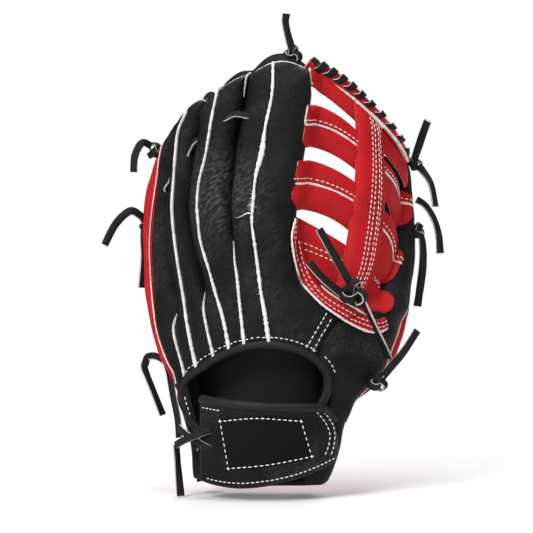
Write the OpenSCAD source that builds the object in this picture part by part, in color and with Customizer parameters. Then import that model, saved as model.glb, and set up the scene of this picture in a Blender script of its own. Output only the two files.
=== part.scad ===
// Five-finger baseball glove for the left hand, seen with its back to the front, fingers up.
// The glove is laid out on a half cylinder whose hollow side is the pocket. Places across it are
// written in mm along the back, from the pocket's centre line, with the thumb on the plus side.

/* [Pocket] */
// Radius of the pocket face of the palm
pocket_r = 68; // [58:1:84]
// Shift of the pocket's axis from the middle of the wrist, towards the thumb
pocket_shift = 13; // [8:1:18]
// How far the crown of the back stands in front of the middle of the wrist
back_front = 4.3; // [0:0.1:12]
// How far the finger tips curl in towards the pocket
tip_curl = 16; // [0:1:24]

/* [Heights above the wrist edge] */
// Tip of the index finger
index_top = 300; // [286:1:360]
// Tip of the middle finger
middle_top = 288; // [270:1:345]
// Tip of the ring finger
ring_top = 272; // [250:1:330]
// Tip of the little finger
pinky_top = 248; // [225:1:300]
// Tip of the thumb
thumb_top = 236; // [200:1:285]

/* [Widths across the back at the knuckles] */
// Index finger
index_w = 48; // [40:1:58]
// Middle finger
middle_w = 38; // [32:1:46]
// Ring finger
ring_w = 32; // [26:1:39]
// Little finger
pinky_w = 27; // [22:1:33]

/* [Layers] */
// Thickness of the palm hide
palm_t = 3; // [2:0.1:4]
// Thickness of the back hide
back_t = 2.4; // [1.6:0.1:3.4]
// Thickness of the felt in the palm
felt_t = 5; // [3:0.5:8]
// Thickness of the lining leather
lining_t = 1.2; // [0.8:0.1:2]
// Room for a finger between the linings
stall_h = 14; // [12:0.5:20]
// Room for the thumb between the linings
thumb_h = 13; // [11:0.5:20]
// Extra room over the back of the hand
hand_rise = 6; // [2:0.5:10]
// Clearance between two layers
layer_gap = 0.5; // [0.4:0.1:0.8]
// Clearance between a finger's lining and the hide over it
lining_gap = 1.5; // [1.2:0.1:2]
// Clearance between two pieces side by side
side_gap = 1.2; // [1:0.1:2]

/* [Welts, laces and binding] */
// Width of a welt
welt_w = 2.2; // [1.6:0.1:3]
// Height of a welt above the hide
welt_h = 1.4; // [0.8:0.1:2]
// Width of a lace
lace_w = 5; // [4:0.1:6]
// Thickness of a lace
lace_t = 2; // [1.6:0.1:2.6]
// Radius of the rolled binding round the wrist opening
binding_r = 3.2; // [2.4:0.1:4.5]
// Turns of the lace round the top of the web
web_turns = 11; // [8:1:13]

/* [Web] */
// Thickness of a web strap
strap_t = 3; // [2:0.1:4]
// Width of a web strap
strap_w = 27; // [22:1:30]
// Width of the centre bar
bar_w = 24; // [18:1:30]
// Width of the top rail
rail_w = 11; // [9:0.5:14]

/* [Wrist strap] */
// Radius of the strap round the wrist
wrist_r = 66; // [62:1:74]
// Width of the strap at its middle
wrist_w = 52; // [40:1:58]
// Thickness of the strap's hide
wrist_t = 3; // [2:0.1:4]
// Width of the patch on the strap
patch_w = 56; // [40:1:64]
// Height of the patch on the strap
patch_h = 30; // [20:1:34]

/* [Hidden] */

// Radii of the layers, from the pocket face out to the back
felt_in = pocket_r + palm_t + layer_gap;
lining_in = felt_in + felt_t + layer_gap;
stall_in = lining_in + lining_t;
valley_in = stall_in + layer_gap;
crown_in = stall_in + stall_h + lining_t + lining_gap;
crown_r = crown_in + back_t;
thumb_crown_in = stall_in + thumb_h + lining_t + lining_gap;
// The pocket's axis lies behind the back, which keeps its place when a layer changes
pocket_depth = crown_r - back_front;

// The hinge line of the pocket runs up the crease between the palm and the thumb
hinge_foot = 49;
hinge_head = 27;
hinge_y = pocket_depth - 64;
hinge_head_t = 290;
crease_gap = 3.6;
flap_t = 52;
function hinge_x(t) = hinge_foot + (hinge_head - hinge_foot) * t / hinge_head_t;

// Edges as [height, place across the back]
knuckle_t = 184;
index_edge = 7;
fork_3 = index_edge - index_w;
fork_2 = fork_3 - middle_w;
fork_1 = fork_2 - ring_w;
pinky_edge = fork_1 - pinky_w;
line_0 = [[0, pinky_edge + 64], [30, pinky_edge + 59], [77, pinky_edge + 43], [107, pinky_edge + 25],
    [150, pinky_edge + 7], [knuckle_t, pinky_edge], [250, pinky_edge + 10]];
line_1 = [[0, fork_1 + 49], [40, fork_1 + 43], [77, fork_1 + 31], [125, fork_1 + 13], [knuckle_t, fork_1],
    [243, fork_1 + 4]];
line_2 = [[92, fork_2 + 28], [138, fork_2 + 12], [knuckle_t, fork_2], [250, fork_2 + 5]];
line_3 = [[99, fork_3 + 14], [140, fork_3 + 7], [knuckle_t, fork_3], [288, fork_3 + 13]];
line_4 = [[97, index_edge + 18.5], [112, index_edge + 18.5], [124, index_edge + 18], [131, index_edge + 15],
    [137, index_edge + 10], [143, index_edge + 5.5], [175, index_edge], [240, index_edge + 3],
    [298, index_edge + 9]];
lines = [line_0, line_1, line_2, line_3, line_4];
// The palm and the web end lower in the crotch than the backs do, which the web's base covers
palm_edge = [[97, index_edge + 18.5], [112, index_edge + 18], [124, index_edge + 13], [143, index_edge + 5],
    [175, index_edge], [240, index_edge + 3], [298, index_edge + 9]];
thumb_palm_edge = [[flap_t, 33], [100, 29.5], [108, 31], [113, 46], [118, 64], [128, 82], [150, 100],
    [175, 114], [207, 125], [236, 126]];
thumb_inner = [[flap_t, 33], [100, 29.5], [112, 29.5], [117, 31], [122, 38], [127, 50], [132, 66], [138, 82],
    [150, 99], [175, 114], [207, 125], [236, 126]];
thumb_outer = [[0, 44], [20, 48], [45, 58], [72, 76], [107, 112], [129, 132], [160, 157], [200, 168],
    [236, 164]];
fork_t = [125, 138, 172];
finger_top = [pinky_top, ring_top, middle_top, index_top];
// Where the welt lies across each finger, and across the thumb
ridge = [0.42, 0.5, 0.5, 0.46];
thumb_ridge = 0.8;
// Height of the wrist opening's upper rim against the place across the back
rim = [[-100, 62], [-82, 77], [-68, 86], [-52, 92], [-28, 100], [-5, 105], [12, 104], [26, 99], [36, 90]];
tip_round = 8;
tip_cap = 22;

function mix(a, b, u) = a + (b - a) * u;
function ease(u) = let (c = min(1, max(0, u))) c * c * (3 - 2 * c);
function steps(n) = [for (i = [0:n]) i / n];
// Smooth curve through [place, value] points
function slope(p, i) = let (a = max(0, i - 1), b = min(len(p) - 1, i + 1))
    (p[b][1] - p[a][1]) / (p[b][0] - p[a][0]);
function span_of(p, t, i = 0) = i >= len(p) - 2 || t < p[i + 1][0] ? i : span_of(p, t, i + 1);
function through(p, place) = let (t = min(p[len(p) - 1][0], max(p[0][0], place)), i = span_of(p, t),
    w = p[i + 1][0] - p[i][0], u = (t - p[i][0]) / w)
    (2 * u ^ 3 - 3 * u ^ 2 + 1) * p[i][1] + (u ^ 3 - 2 * u ^ 2 + u) * w * slope(p, i)
    + (3 * u ^ 2 - 2 * u ^ 3) * p[i + 1][1] + (u ^ 3 - u ^ 2) * w * slope(p, i + 1);
// Points along a smooth curve through a few chosen ones
function along(p, n) = [for (u = steps(n))
    let (s = u * (len(p) - 1), i = min(len(p) - 2, floor(s)), f = s - i,
    a = p[max(0, i - 1)], b = p[i], c = p[i + 1], d = p[min(len(p) - 1, i + 2)])
    0.5 * (2 * b + (c - a) * f + (2 * a - 5 * b + 4 * c - d) * f ^ 2 + (3 * b - 3 * c + d - a) * f ^ 3)];

// A point of the glove: layer radius, place across in degrees, height
function degrees(mm) = mm / crown_r * 180 / PI;
function curl(t) = tip_curl * (max(0, t - 130) / (index_top - 130)) ^ 2;
function at(r, a, t) = let (q = r - curl(t)) [pocket_shift + q * sin(a), pocket_depth - q * cos(a), t];
// The angle at which a layer meets a plane of constant x
function angle_at_x(r, x, t) = asin((x - pocket_shift) / (r - curl(t)));

// A closed sheet between two grids of points, without the cells that open() names
module sheet(outer, inner, open = function(i, j) false) {
    m = len(outer);
    n = len(outer[0]);
    function on(i, j) = i >= 0 && j >= 0 && i < m - 1 && j < n - 1 && !open(i, j);
    function o(i, j) = i * n + j;
    function p(i, j) = m * n + i * n + j;
    function quad(a, b, c, d) = [[a, b, c], [a, c, d]];
    cells = [for (i = [0:m - 2]) for (j = [0:n - 2]) if (on(i, j)) [i, j]];
    faces = [for (c = cells) let (i = c[0], j = c[1]) each concat(
        quad(o(i, j), o(i + 1, j), o(i + 1, j + 1), o(i, j + 1)),
        quad(p(i, j), p(i, j + 1), p(i + 1, j + 1), p(i + 1, j)),
        on(i - 1, j) ? [] : quad(o(i, j), o(i, j + 1), p(i, j + 1), p(i, j)),
        on(i + 1, j) ? [] : quad(o(i + 1, j + 1), o(i + 1, j), p(i + 1, j), p(i + 1, j + 1)),
        on(i, j - 1) ? [] : quad(o(i + 1, j), o(i, j), p(i, j), p(i + 1, j)),
        on(i, j + 1) ? [] : quad(o(i, j + 1), o(i + 1, j + 1), p(i + 1, j + 1), p(i, j + 1)))];
    polyhedron(concat([for (row = outer) each row], [for (row = inner) each row]), faces);
}
// A sheet laid out by a function of layer lift, share across and share along
module laid_sheet(point, thick, rows, columns) {
    sheet([for (q = steps(rows)) [for (u = steps(columns)) point(thick, u, q)]],
        [for (q = steps(rows)) [for (u = steps(columns)) point(0, u, q)]]);
}

// A lace swept along points, with its broad side turned to the direction out
function unit(v) = v / norm(v);
function tangent(p, i) = unit(p[min(len(p) - 1, i + 1)] - p[max(0, i - 1)]);
function swept(p, w, h, out, sides) = [for (i = [0:len(p) - 1])
    let (t = tangent(p, i), s = unit(cross(t, out(p[i]))), b = cross(s, t))
    [for (k = [0:sides - 1]) let (a = 360 * (k + 0.5) / sides)
    p[i] + s * w / 2 * cos(a) + b * h / 2 * sin(a)]];
module tube(p, w, h, out, sides = 8) {
    rings = swept(p, w, h, out, sides);
    n = len(rings);
    end = (n - 1) * sides;
    walls = [for (i = [0:n - 2]) for (k = [0:sides - 1])
        let (a = i * sides, b = a + sides, l = (k + 1) % sides)
        each [[a + k, b + l, b + k], [a + k, a + l, b + l]]];
    ends = [for (k = [1:sides - 2]) each [[0, k + 1, k], [end, end + k, end + k + 1]]];
    polyhedron([for (r = rings) each r], concat(walls, ends));
}
// Away from the pocket's axis
function away(p) = unit([p[0] - pocket_shift, p[1] - pocket_depth, 0]);
module lace(p, n) { color("#161617") tube(along(p, n), lace_w, lace_t, function(q) away(q)); }
// A tail's broad side faces the front
module tail(p, n) { color("#161617") tube(along(p, n), lace_w, lace_t, function(q) [0.2, -1, 0.1]); }
// A knot lies with its side on the hide
knot_r = 5;
knot_lift = knot_r + 2 * layer_gap;
module knot(place, turn) {
    color("#161617") translate(place) rotate(turn) rotate_extrude()
        polygon([[0, -knot_r], [3.4, -knot_r], [knot_r, -2.5], [knot_r, 2.5], [3.4, knot_r], [0, knot_r]]);
}

// Fingers: 0 little, 1 ring, 2 middle, 3 index
function low_of(i, u) = i == 0 ? 3 : through(rim, mix(through(lines[i], 95), through(lines[i + 1], 95), u))
    + binding_r + 5 * layer_gap;
function tip_of(i, u) = finger_top[i] - tip_round * (1 - sqrt(max(0, 1 - (2 * u - 1) ^ 2)));
function across(i, u, t, margin) = let (m = degrees(margin))
    mix(degrees(through(lines[i], t)) + m, degrees(through(lines[i + 1], t)) - m, u);
// Where a finger's side is down on the palm, 1, and where it runs on as the back of the hand, 0
function left_down(i, t) = i == 0 ? 1 : ease((t - fork_t[i - 1] + 18) / 36);
function right_down(i, t) = i == 3 ? ease((t - 116) / 30) : ease((t - fork_t[i] + 18) / 36);
function rise(t) = hand_rise * ease((150 - t) / 50) * (1 - ease((62 - t) / 40));
function cap(top, t) = sqrt(max(0, 1 - (max(0, t - top + tip_cap) / tip_cap) ^ 2));
function arch(v) = (1 - min(1, abs(v)) ^ 2.4) ^ (1 / 2.4);
function stall_r(i, u, t) = let (v = 2 * u - 1, down = v < 0 ? left_down(i, t) : right_down(i, t))
    mix(crown_in + rise(t), valley_in, max(down * (1 - arch(v)), 1 - cap(finger_top[i], t)));
// A finger's back between two shares of its width
module finger_back(i, from, to, rows, columns) {
    color("#1b1b1c") laid_sheet(function(lift, s, q)
        let (u = mix(from, to, s), t = mix(low_of(i, u), tip_of(i, u), q))
        at(stall_r(i, u, t) + lift, across(i, u, t, side_gap / 2), t), back_t, rows, columns);
}
function beside_welt(w) = (side_gap + welt_w) / 2 / w;
module pinky_back() { finger_back(0, ridge[0] + beside_welt(pinky_w / 2), 1, 18, 4); }
module ring_back_outer() { finger_back(1, 0, ridge[1] - beside_welt(ring_w), 14, 4); }
module ring_back_inner() { finger_back(1, ridge[1] + beside_welt(ring_w), 1, 14, 4); }
module middle_back_outer() { finger_back(2, 0, ridge[2] - beside_welt(middle_w), 14, 4); }
module middle_back_inner() { finger_back(2, ridge[2] + beside_welt(middle_w), 1, 14, 4); }
module index_back_outer() { finger_back(3, 0, ridge[3] - beside_welt(index_w), 14, 4); }
module index_back_inner() { finger_back(3, ridge[3] + beside_welt(index_w), 1, 18, 5); }

// White welts down the ridge of each finger, and from the forks to the rim
module finger_welt(i) {
    laid_sheet(function(lift, u, q) let (t = mix(low_of(i, ridge[i]), tip_of(i, 0.5) - tip_round, q),
        a = across(i, ridge[i], t, side_gap / 2) + degrees(welt_w * (u - 0.5)))
        at(stall_r(i, ridge[i], t) + lift, a, t), back_t + welt_h, 18, 1);
}
module finger_welts() {
    for (i = [0:3])
        color("#e8e6df") finger_welt(i);
}
// A fork welt lies on the seam between two fingers, over both
module fork_welt(i) {
    foot = max(low_of(i, 0), low_of(i - 1, 1));
    laid_sheet(function(lift, u, q) let (t = mix(foot, fork_t[i - 1] - 16, q),
        a = degrees(through(lines[i], t) + welt_w * (u - 0.5)))
        at(stall_r(i, 0, t) + back_t + layer_gap + lift, a, t), welt_h, 6, 1);
}
module fork_welts() {
    for (i = [1:3])
        color("#e8e6df") fork_welt(i);
}
// The corner of the heel on the thumb side, where the strap is sewn
module heel_corner_back() {
    color("#1b1b1c") laid_sheet(function(lift, u, q)
        let (t = mix(3, flap_t - 3, q), r = mix(crown_in - 6, valley_in, u ^ 2) + lift)
        at(r, mix(angle_at_x(r, hinge_x(t) - 4, t), degrees(through(thumb_outer, t)), u), t), back_t, 4, 4);
}

// The palm hide: the little finger's outer side, four finger fronts and a corner at the heel
wall = degrees(palm_t);
slit = 2;
// Each column: finger, share of its width, and for the folded side its share of the way up
palm_columns = concat([[0, ridge[0] - beside_welt(pinky_w / 2), 1], [0, 0.24, 1], [0, 0.1, 1], [0, 0, 0.5]],
    [for (i = [0:3]) for (k = [0:3]) [i, k / 3, 0]], [[4, 0.5, 0], [4, 1, 0]]);
palm_rows = concat([0, 0.5, 1], [for (k = [1:7]) 1 + k / 7], [for (k = [1:8]) 2 + k / 8]);
function palm_right(r, t) = let (c = angle_at_x(r, hinge_x(t) - crease_gap, t))
    t <= 112 ? c : mix(c, degrees(through(palm_edge, t) - side_gap), ease((t - 112) / 34));
function palm_line(i, r, t) = i == 4 ? palm_right(r, t)
    : degrees(through(lines[i], t)) * (i < 2 ? 1 : mix(0.8, 1, min(1, t / 92)));
// The height of a row: up to the flap's foot, on to the forks, and up the fingers
function palm_height(c, q, edge, top) = let (i = min(3, c[0]), u = c[0] == 4 ? 1 : c[1],
    fork = mix(fork_t[max(0, i - 1)], fork_t[min(2, i)], u))
    q <= 1 ? mix(edge, flap_t - 3, q)
    : q <= 2 ? mix(flap_t - 3, fork, q - 1) : mix(fork, tip_of(i, u) - top, q - 2);
function palm_angle(c, r, t, inset) = let (i = c[0], m = degrees(slit / 2)) i == 4
    ? mix(palm_right(r, t), degrees(through(thumb_outer, t) - inset), c[1])
    : mix(palm_line(i, r, t) + (i == 0 ? degrees(inset) : m),
    palm_line(i + 1, r, t) - (i == 3 ? 0 : m), c[1]);
// The fronts are open between the fingers above the forks, and the corner ends at the flap's foot
function palm_open(first, i, j) = let (c = j - first) c >= 15 ? i >= 2 : i >= 9 && c > 0 && c % 4 == 3;
function palm_face(c, q, lift) = let (t = palm_height(c, q, 0, 0))
    c[2] == 1 ? at(stall_r(0, c[1], t) + back_t - lift, across(0, c[1], t, 0), t)
    : c[2] > 0 ? at(mix(pocket_r, valley_in, 0.6), palm_line(0, pocket_r, t) - wall + degrees(lift), t)
    : at(pocket_r + lift, palm_angle(c, pocket_r, t, c[0] == 0 && c[1] == 0 ? lift - palm_t * 0.5 : 0), t);
module palm_shell() {
    function grid(folded, flat) = [for (q = palm_rows) [for (c = palm_columns)
        palm_face(c, q, c[2] == 1 ? folded : flat)]];
    color("#b3161c") sheet(grid(back_t, palm_t), grid(0, 0), function(i, j) palm_open(4, i, j));
}
flat_columns = [for (k = [4:len(palm_columns) - 1]) palm_columns[k]];
module palm_lining() {
    function grid(lift) = [for (q = palm_rows) [for (c = flat_columns)
        let (t = palm_height(c, q, 3, 14)) at(lining_in + lift, palm_angle(c, lining_in, t, 4), t)]];
    color("#151516") sheet(grid(lining_t), grid(0), function(i, j) palm_open(0, i, j));
}
module palm_felt() {
    color("#d8d4c8") laid_sheet(function(lift, u, q) let (t = mix(6, fork_t[0] - 6, q), r = felt_in + lift)
        at(r, mix(palm_line(0, r, t) + degrees(6), palm_right(r, t) - degrees(1), u), t), felt_t, 8, 8);
}
module finger_felt(i) {
    laid_sheet(function(lift, u, q) let (t = mix(fork_t[min(2, i)] + 6, finger_top[i] - tip_round - 14, q))
        at(felt_in + lift, across(i, u, t, 5), t), felt_t, 6, 3);
}
module finger_felts() {
    for (i = [0:3])
        color("#d8d4c8") finger_felt(i);
}

// Linings over the fingers
module stall_lining(i) {
    color("#151516") laid_sheet(function(lift, s, q)
        let (u = mix(0.13, 0.87, s), t = mix(fork_t[min(2, i)] - 4, tip_of(i, u) - tip_cap * 0.7, q))
        at(stall_r(i, u, t) - lining_gap - lining_t + lift, across(i, u, t, side_gap / 2), t),
        lining_t, 9, 6);
}
module pinky_lining() { stall_lining(0); }
module ring_lining() { stall_lining(1); }
module middle_lining() { stall_lining(2); }
module index_lining() { stall_lining(3); }

// The thumb and the side of the hand below it, from the crease outwards
function thumb_tip(u) = thumb_top - tip_round * (1 - sqrt(max(0, 1 - (2 * u - 1) ^ 2)));
function thumb_left(r, t, past, edge) = t < 108 ? angle_at_x(r, hinge_x(t) + past, t)
    : mix(angle_at_x(r, hinge_x(108) + past, 108), degrees(through(edge, t)), ease((t - 108) / 8));
function thumb_angle(r, u, t, past, inset, edge = thumb_palm_edge) =
    mix(thumb_left(r, t, past, edge), degrees(through(thumb_outer, t) - inset), u);
function thumb_r(u, t) = let (v = 2 * u - 1, down = v < 0 ? ease((t - 112) / 24) : 1)
    mix(thumb_crown_in + rise(t), valley_in, max(down * (1 - arch(v)), 1 - cap(thumb_top, t)));
// Rows are closer together round the crotch
thumb_ts = [flap_t, 68, 84, 96, 104, 110, 113, 116, 119, 122, 126, 131, 137, 150, 168, 186, 202];
thumb_qs = concat([for (t = thumb_ts) (t - flap_t) / (236 - flap_t)], [0.87, 0.92, 0.96, 0.985, 1]);
function thumb_height(u, q, from, top) = mix(from, thumb_tip(u) - top, q);
// The back starts past the binding beside the opening, and at the crease above it
function back_past(t) = 2 * binding_r + 3 * layer_gap - ease((t - 92) / 8) * (2 * binding_r + layer_gap);
function thumb_back_angle(u, t) = thumb_angle(thumb_crown_in, u, t, back_past(t), 0, thumb_inner);
function thumb_point(lift, u, q) = let (t = thumb_height(u, q, flap_t, 0))
    at(thumb_r(u, t) + lift, thumb_back_angle(u, t), t);
module thumb_back() {
    us = [for (s = steps(6)) s * (thumb_ridge - beside_welt(26))];
    color("#1b1b1c") sheet([for (q = thumb_qs) [for (u = us) thumb_point(back_t, u, q)]],
        [for (q = thumb_qs) [for (u = us) thumb_point(0, u, q)]]);
}
thumb_columns = concat([for (s = steps(7)) [s, 0]], [[1, 0.5]],
    [for (u = [0.97, 0.9, thumb_ridge + beside_welt(26)]) [u, 1]]);
function thumb_face(c, q, lift) = let (t = thumb_height(c[0], q, flap_t, 0))
    c[1] == 1 ? at(thumb_r(c[0], t) + back_t - lift, thumb_back_angle(c[0], t), t)
    : c[1] > 0 ? at(mix(pocket_r, valley_in, 0.6), degrees(through(thumb_outer, t) - lift) + wall, t)
    : let (r = pocket_r + lift, inset = c[0] == 1 ? lift - palm_t * 0.5 : 0)
    at(r, thumb_angle(r, c[0], t, crease_gap, inset), t);
module thumb_palm() {
    function grid(folded, flat) = [for (q = thumb_qs) [for (c = thumb_columns)
        thumb_face(c, q, c[1] == 1 ? folded : flat)]];
    color("#b3161c") sheet(grid(back_t, palm_t), grid(0, 0));
}
module thumb_lining_front() {
    laid_sheet(function(lift, u, q) let (t = mix(flap_t + 3, thumb_top - 16, q), r = lining_in + lift)
        at(r, thumb_angle(r, u, t, crease_gap, 7), t), lining_t, 14, 7);
}
module thumb_lining_back() {
    laid_sheet(function(lift, s, q)
        let (u = mix(0.13, 0.87, s), t = mix(136, thumb_tip(u) - tip_cap * 0.7, q),
        r = thumb_r(u, t) - lining_gap - lining_t + lift)
        at(r, thumb_angle(valley_in, u, t, crease_gap, 0), t), lining_t, 8, 6);
}
module thumb_lining() {
    color("#151516") thumb_lining_front();
    color("#151516") thumb_lining_back();
}
module thumb_felt() {
    color("#d8d4c8") laid_sheet(function(lift, u, q)
        let (t = mix(flap_t + 6, thumb_top - 24, q), r = felt_in + lift)
        at(r, thumb_angle(r, mix(0.1, 0.98, u), t, crease_gap + 1, 14), t), felt_t, 14, 7);
}
module thumb_edge_welt() {
    function point(lift, u, q) = let (t = thumb_height(thumb_ridge, q, flap_t, 0),
        a = thumb_back_angle(thumb_ridge, t) + degrees(welt_w * (u - 0.5)))
        at(thumb_r(thumb_ridge, t) + lift, a, t);
    qs = [for (q = thumb_qs) if (q < 0.97) q];
    color("#e8e6df") sheet([for (q = qs) [for (u = [0, 1]) point(back_t + welt_h, u, q)]],
        [for (q = qs) [for (u = [0, 1]) point(0, u, q)]]);
}

// The rolled binding, in two lengths that meet at the crease
function binding_at(a, t) = at(crown_in + rise(t) + back_t / 2, a, t);
module binding(p, n) {
    color("#1b1b1c") tube(along(p, n), 2 * binding_r, 2 * binding_r, function(q) away(q));
}
module wrist_binding() {
    side = [for (t = [14, 30, 46, 62]) binding_at(degrees(through(line_1, t) + binding_r + side_gap), t)];
    top = [for (m = [-70, -58, -44, -30, -16, -2, 12, 24]) binding_at(degrees(m), through(rim, m))];
    binding(concat(side, top), 33);
}
module thumb_binding() {
    binding([for (t = [97, 90, 80, 70, 60, flap_t + 2]) let (r = thumb_crown_in + rise(t) + back_t / 2)
        at(r, angle_at_x(r, hinge_x(t) + binding_r + layer_gap, t), t)], 14);
}

// Laces of the fingers
module finger_tip_lace() {
    r = pocket_r - layer_gap - lace_t / 2;
    lace([for (i = [0:3]) for (u = [0.2, 0.5, 0.8])
        let (t = tip_of(i, u) - 9) at(r, across(i, u, t, 0), t)], 33);
}
tie_t = [213, 238, 258];
module finger_tie(i, t) {
    r = stall_r(i, 0.6, t) + back_t + layer_gap + lace_t / 2;
    lace([for (c = [[i, 0.66], [i, 0.85], [i + 1, 0], [i + 1, 0.15], [i + 1, 0.34]])
        at(r, across(c[0], c[1], t, 0), t)], 8);
}
module finger_ties() {
    for (i = [0:2])
        finger_tie(i, tie_t[i]);
}
module finger_knots() {
    knot(at(felt_in + felt_t, across(3, 0.6, index_top, 0), index_top + knot_lift), [0, 90, 0]);
    for (t = [pinky_top - 14, 182])
        knot(at(stall_r(0, 0.2, t) + back_t + knot_lift + welt_h, across(0, 0.2, t, 0), t), [0, 0, 0]);
}
// A loop at the heel, each point as its lift over the back, its place from the edge and its height
heel_loop = [[-3, -10, 84], [5, -5, 88], [12, -7, 88], [12, -12, 82]];
module pinky_heel_lace() {
    lace([for (c = heel_loop) at(crown_r + c[0], degrees(through(line_0, c[2]) + c[1]), c[2])], 9);
}

// Wrist strap, in its own circle
strap_x = 3;
strap_y = wrist_r - 27;
strap_left = -46;
strap_right = 43;
function strap_at(r, a, t) = [strap_x + r * sin(a), strap_y - r * cos(a), t];
function strap_foot(a) = a < 0 ? 2 + 7 * (a / strap_left) ^ 2 : 2 + 15 * (a / strap_right) ^ 2;
function strap_head(a) = wrist_w + 2 + 4 * (a / strap_right) ^ 2;
module strap_piece(r, thick, from, to, foot, head, rows, columns) {
    laid_sheet(function(lift, u, q) let (a = mix(from, to, u))
        strap_at(r + lift, a, mix(foot(a), head(a), q)), thick, rows, columns);
}
module wrist_strap() {
    color("#1b1b1c") strap_piece(wrist_r, wrist_t, strap_left, strap_right,
        function(a) strap_foot(a), function(a) strap_head(a), 4, 14);
}
module strap_lining() {
    color("#2a2a2b") strap_piece(wrist_r - layer_gap - 3, 3, strap_left + 8, strap_right - 8,
        function(a) strap_foot(a) + 4, function(a) strap_head(a) - 4, 3, 11);
}
module strap_patch() {
    half = patch_w / 2 / wrist_r * 180 / PI;
    middle = (wrist_w - 4) / 2 + 5;
    color("#1b1b1c") strap_piece(wrist_r + wrist_t + layer_gap, 1, -half, half,
        function(a) middle - patch_h / 2 + 2 * a / half, function(a) middle + patch_h / 2, 2, 8);
}
// The strap's lace crosses from its end towards the heel
module strap_cross(side) {
    r = wrist_r + wrist_t + layer_gap + lace_t / 2 + (side + 1) / 2 * (lace_t + layer_gap);
    route = [for (k = [0:3]) strap_at(r, strap_left + 9 - 9 * k, 34 + side * (6 - 4 * k))];
    tube(along(route, 7), lace_w, lace_t, function(q) unit([q[0] - strap_x, q[1] - strap_y, 0]));
}
module strap_lace() {
    for (side = [-1, 1])
        color("#161617") strap_cross(side);
}

// The web: four straps behind a centre bar, a base along the crotch and a laced rail on top
function web_r(u) = lining_in - strap_t / 2 + (valley_in - lining_in + 9) * ease(u);
function web_left(t) = through(palm_edge, t) + 2 * side_gap;
function web_right(t) = min(through(thumb_palm_edge, t), through(thumb_inner, t)) - 2 * side_gap;
function web_angle(u, t) = degrees(mix(web_left(t), web_right(t), u));
function web_share(mm, t) = (mm - web_left(t)) / (web_right(t) - web_left(t));
strap_ts = [[279, 224, 10, 8, 9], [255, 199, 26, 19, 6], [213, 164, 28, 23, 8], [177, 140, 20, 18, 5]];
module web_strap(k) {
    c = strap_ts[k];
    color("#b3161c") laid_sheet(function(lift, v, u)
        let (t = mix(c[0], c[1], u) + c[4] * sin(180 * u) + mix(c[2], c[3], u) * strap_w / 27 * (0.5 - v))
        at(web_r(u) + lift, web_angle(u, t), t), strap_t, 12, 3);
}
module web_strap_1() { web_strap(0); }
module web_strap_2() { web_strap(1); }
module web_strap_3() { web_strap(2); }
module web_strap_4() { web_strap(3); }
// The rail's middle line
rail_line = [[0, 299], [0.22, 291], [0.5, 279], [0.73, 264], [1, 244]];
function rail_point(lift, u, off) = let (t = through(rail_line, u), a = web_angle(u, t))
    at(web_r(u) + strap_t / 2 + lift, a, t) + off * unit([0.45 * cos(a), 0.45 * sin(a), 1]);
// The rail starts clear of the index finger, which it turns past as the pocket closes
rail_start = 0.03;
module web_top_rail() {
    color("#b3161c") laid_sheet(function(lift, v, u)
        rail_point(lift - strap_t / 2, mix(rail_start, 1, u), rail_w * (0.5 - v)), strap_t, 14, 2);
}
bar_line = [[130, 59], [143, 63], [206, 82], [262, 91]];
module web_centre_bar() {
    color("#b3161c") laid_sheet(function(lift, v, q)
        let (t = mix(137, through(rail_line, mix(0.6, 0.82, v)) - rail_w - 1, q),
        mm = through(bar_line, t) + bar_w * (v - 0.5))
        at(web_r(web_share(mm, t)) + strap_t + 2 * layer_gap + lift, degrees(mm), t), strap_t, 12, 4);
}
// Edges of the base along the crotch, each as [share, [place across, height]]
base_low = [[0, [10, 163]], [0.2, [14.5, 146]], [0.4, [28, 127]], [0.6, [47, 115]], [0.78, [63, 108.5]],
    [0.9, [74, 112]], [1, [83, 121]]];
base_high = [[0, [15, 160]], [0.2, [25, 147]], [0.4, [40, 137]], [0.6, [56, 131]], [0.78, [66, 126]],
    [0.9, [76, 124]], [1, [84, 126]]];
// The base is sewn on the index finger's back and on the thumb's, and dips to the web between them
function base_r(p) = let (mm = p[0], t = p[1], from = through(line_3, t), to = through(line_4, t),
    left = thumb_left(thumb_crown_in, t, back_past(t), thumb_inner), right = degrees(through(thumb_outer, t)),
    u = (degrees(mm) - left) / (right - left), gap = (degrees(mm) - degrees(to)) / (left - degrees(to)),
    over = back_t + 3 * layer_gap, web = web_r(mm / 110) - 2 * strap_t - layer_gap)
    mm < to ? stall_r(3, (mm - from) / (to - from), t) + over
    : u > 0 ? thumb_r(u, t) + over
    : mix(mix(stall_r(3, 1, t), thumb_r(0, t), gap) + over, web, ease((t - 122) / 16) * sin(180 * gap));
module web_base() {
    color("#b3161c") laid_sheet(function(lift, v, u)
        let (p = mix(through(base_high, u), through(base_low, u), v))
        at(base_r(p) + lift, degrees(p[0]), p[1]), strap_t, 24, 8);
}
// One unbroken lace wound round the rail
wound_d = 2.4;
wound_rings = 10;
wound_high = (strap_t / 2 + wound_d / 2 + layer_gap) * 1.45;
wound_wide = (rail_w / 2 + wound_d / 2 + layer_gap) * 1.2;
wound = let (n = web_turns * wound_rings) [for (k = [0:n]) let (g = 360 * k / wound_rings)
    rail_point(wound_high * cos(g), mix(0.03, 0.97, k / n), wound_wide * sin(g))];
wound_last = len(wound) - 1;
wound_gap = min([for (i = [0:wound_last - 7]) for (j = [i + 7:min(wound_last, i + 13)])
    norm(wound[i] - wound[j])]) - wound_d;
echo(web_top_lace_least_gap = wound_gap);
module web_top_lace() {
    first = wound[0] + wound_d * unit(wound[0] - wound[1]);
    last = wound[wound_last] + wound_d * unit(wound[wound_last] - wound[wound_last - 1]);
    color("#161617") tube(concat([first], wound, [last]), wound_d, wound_d, function(q) [0.1, 0.2, 1], 6);
}
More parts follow.
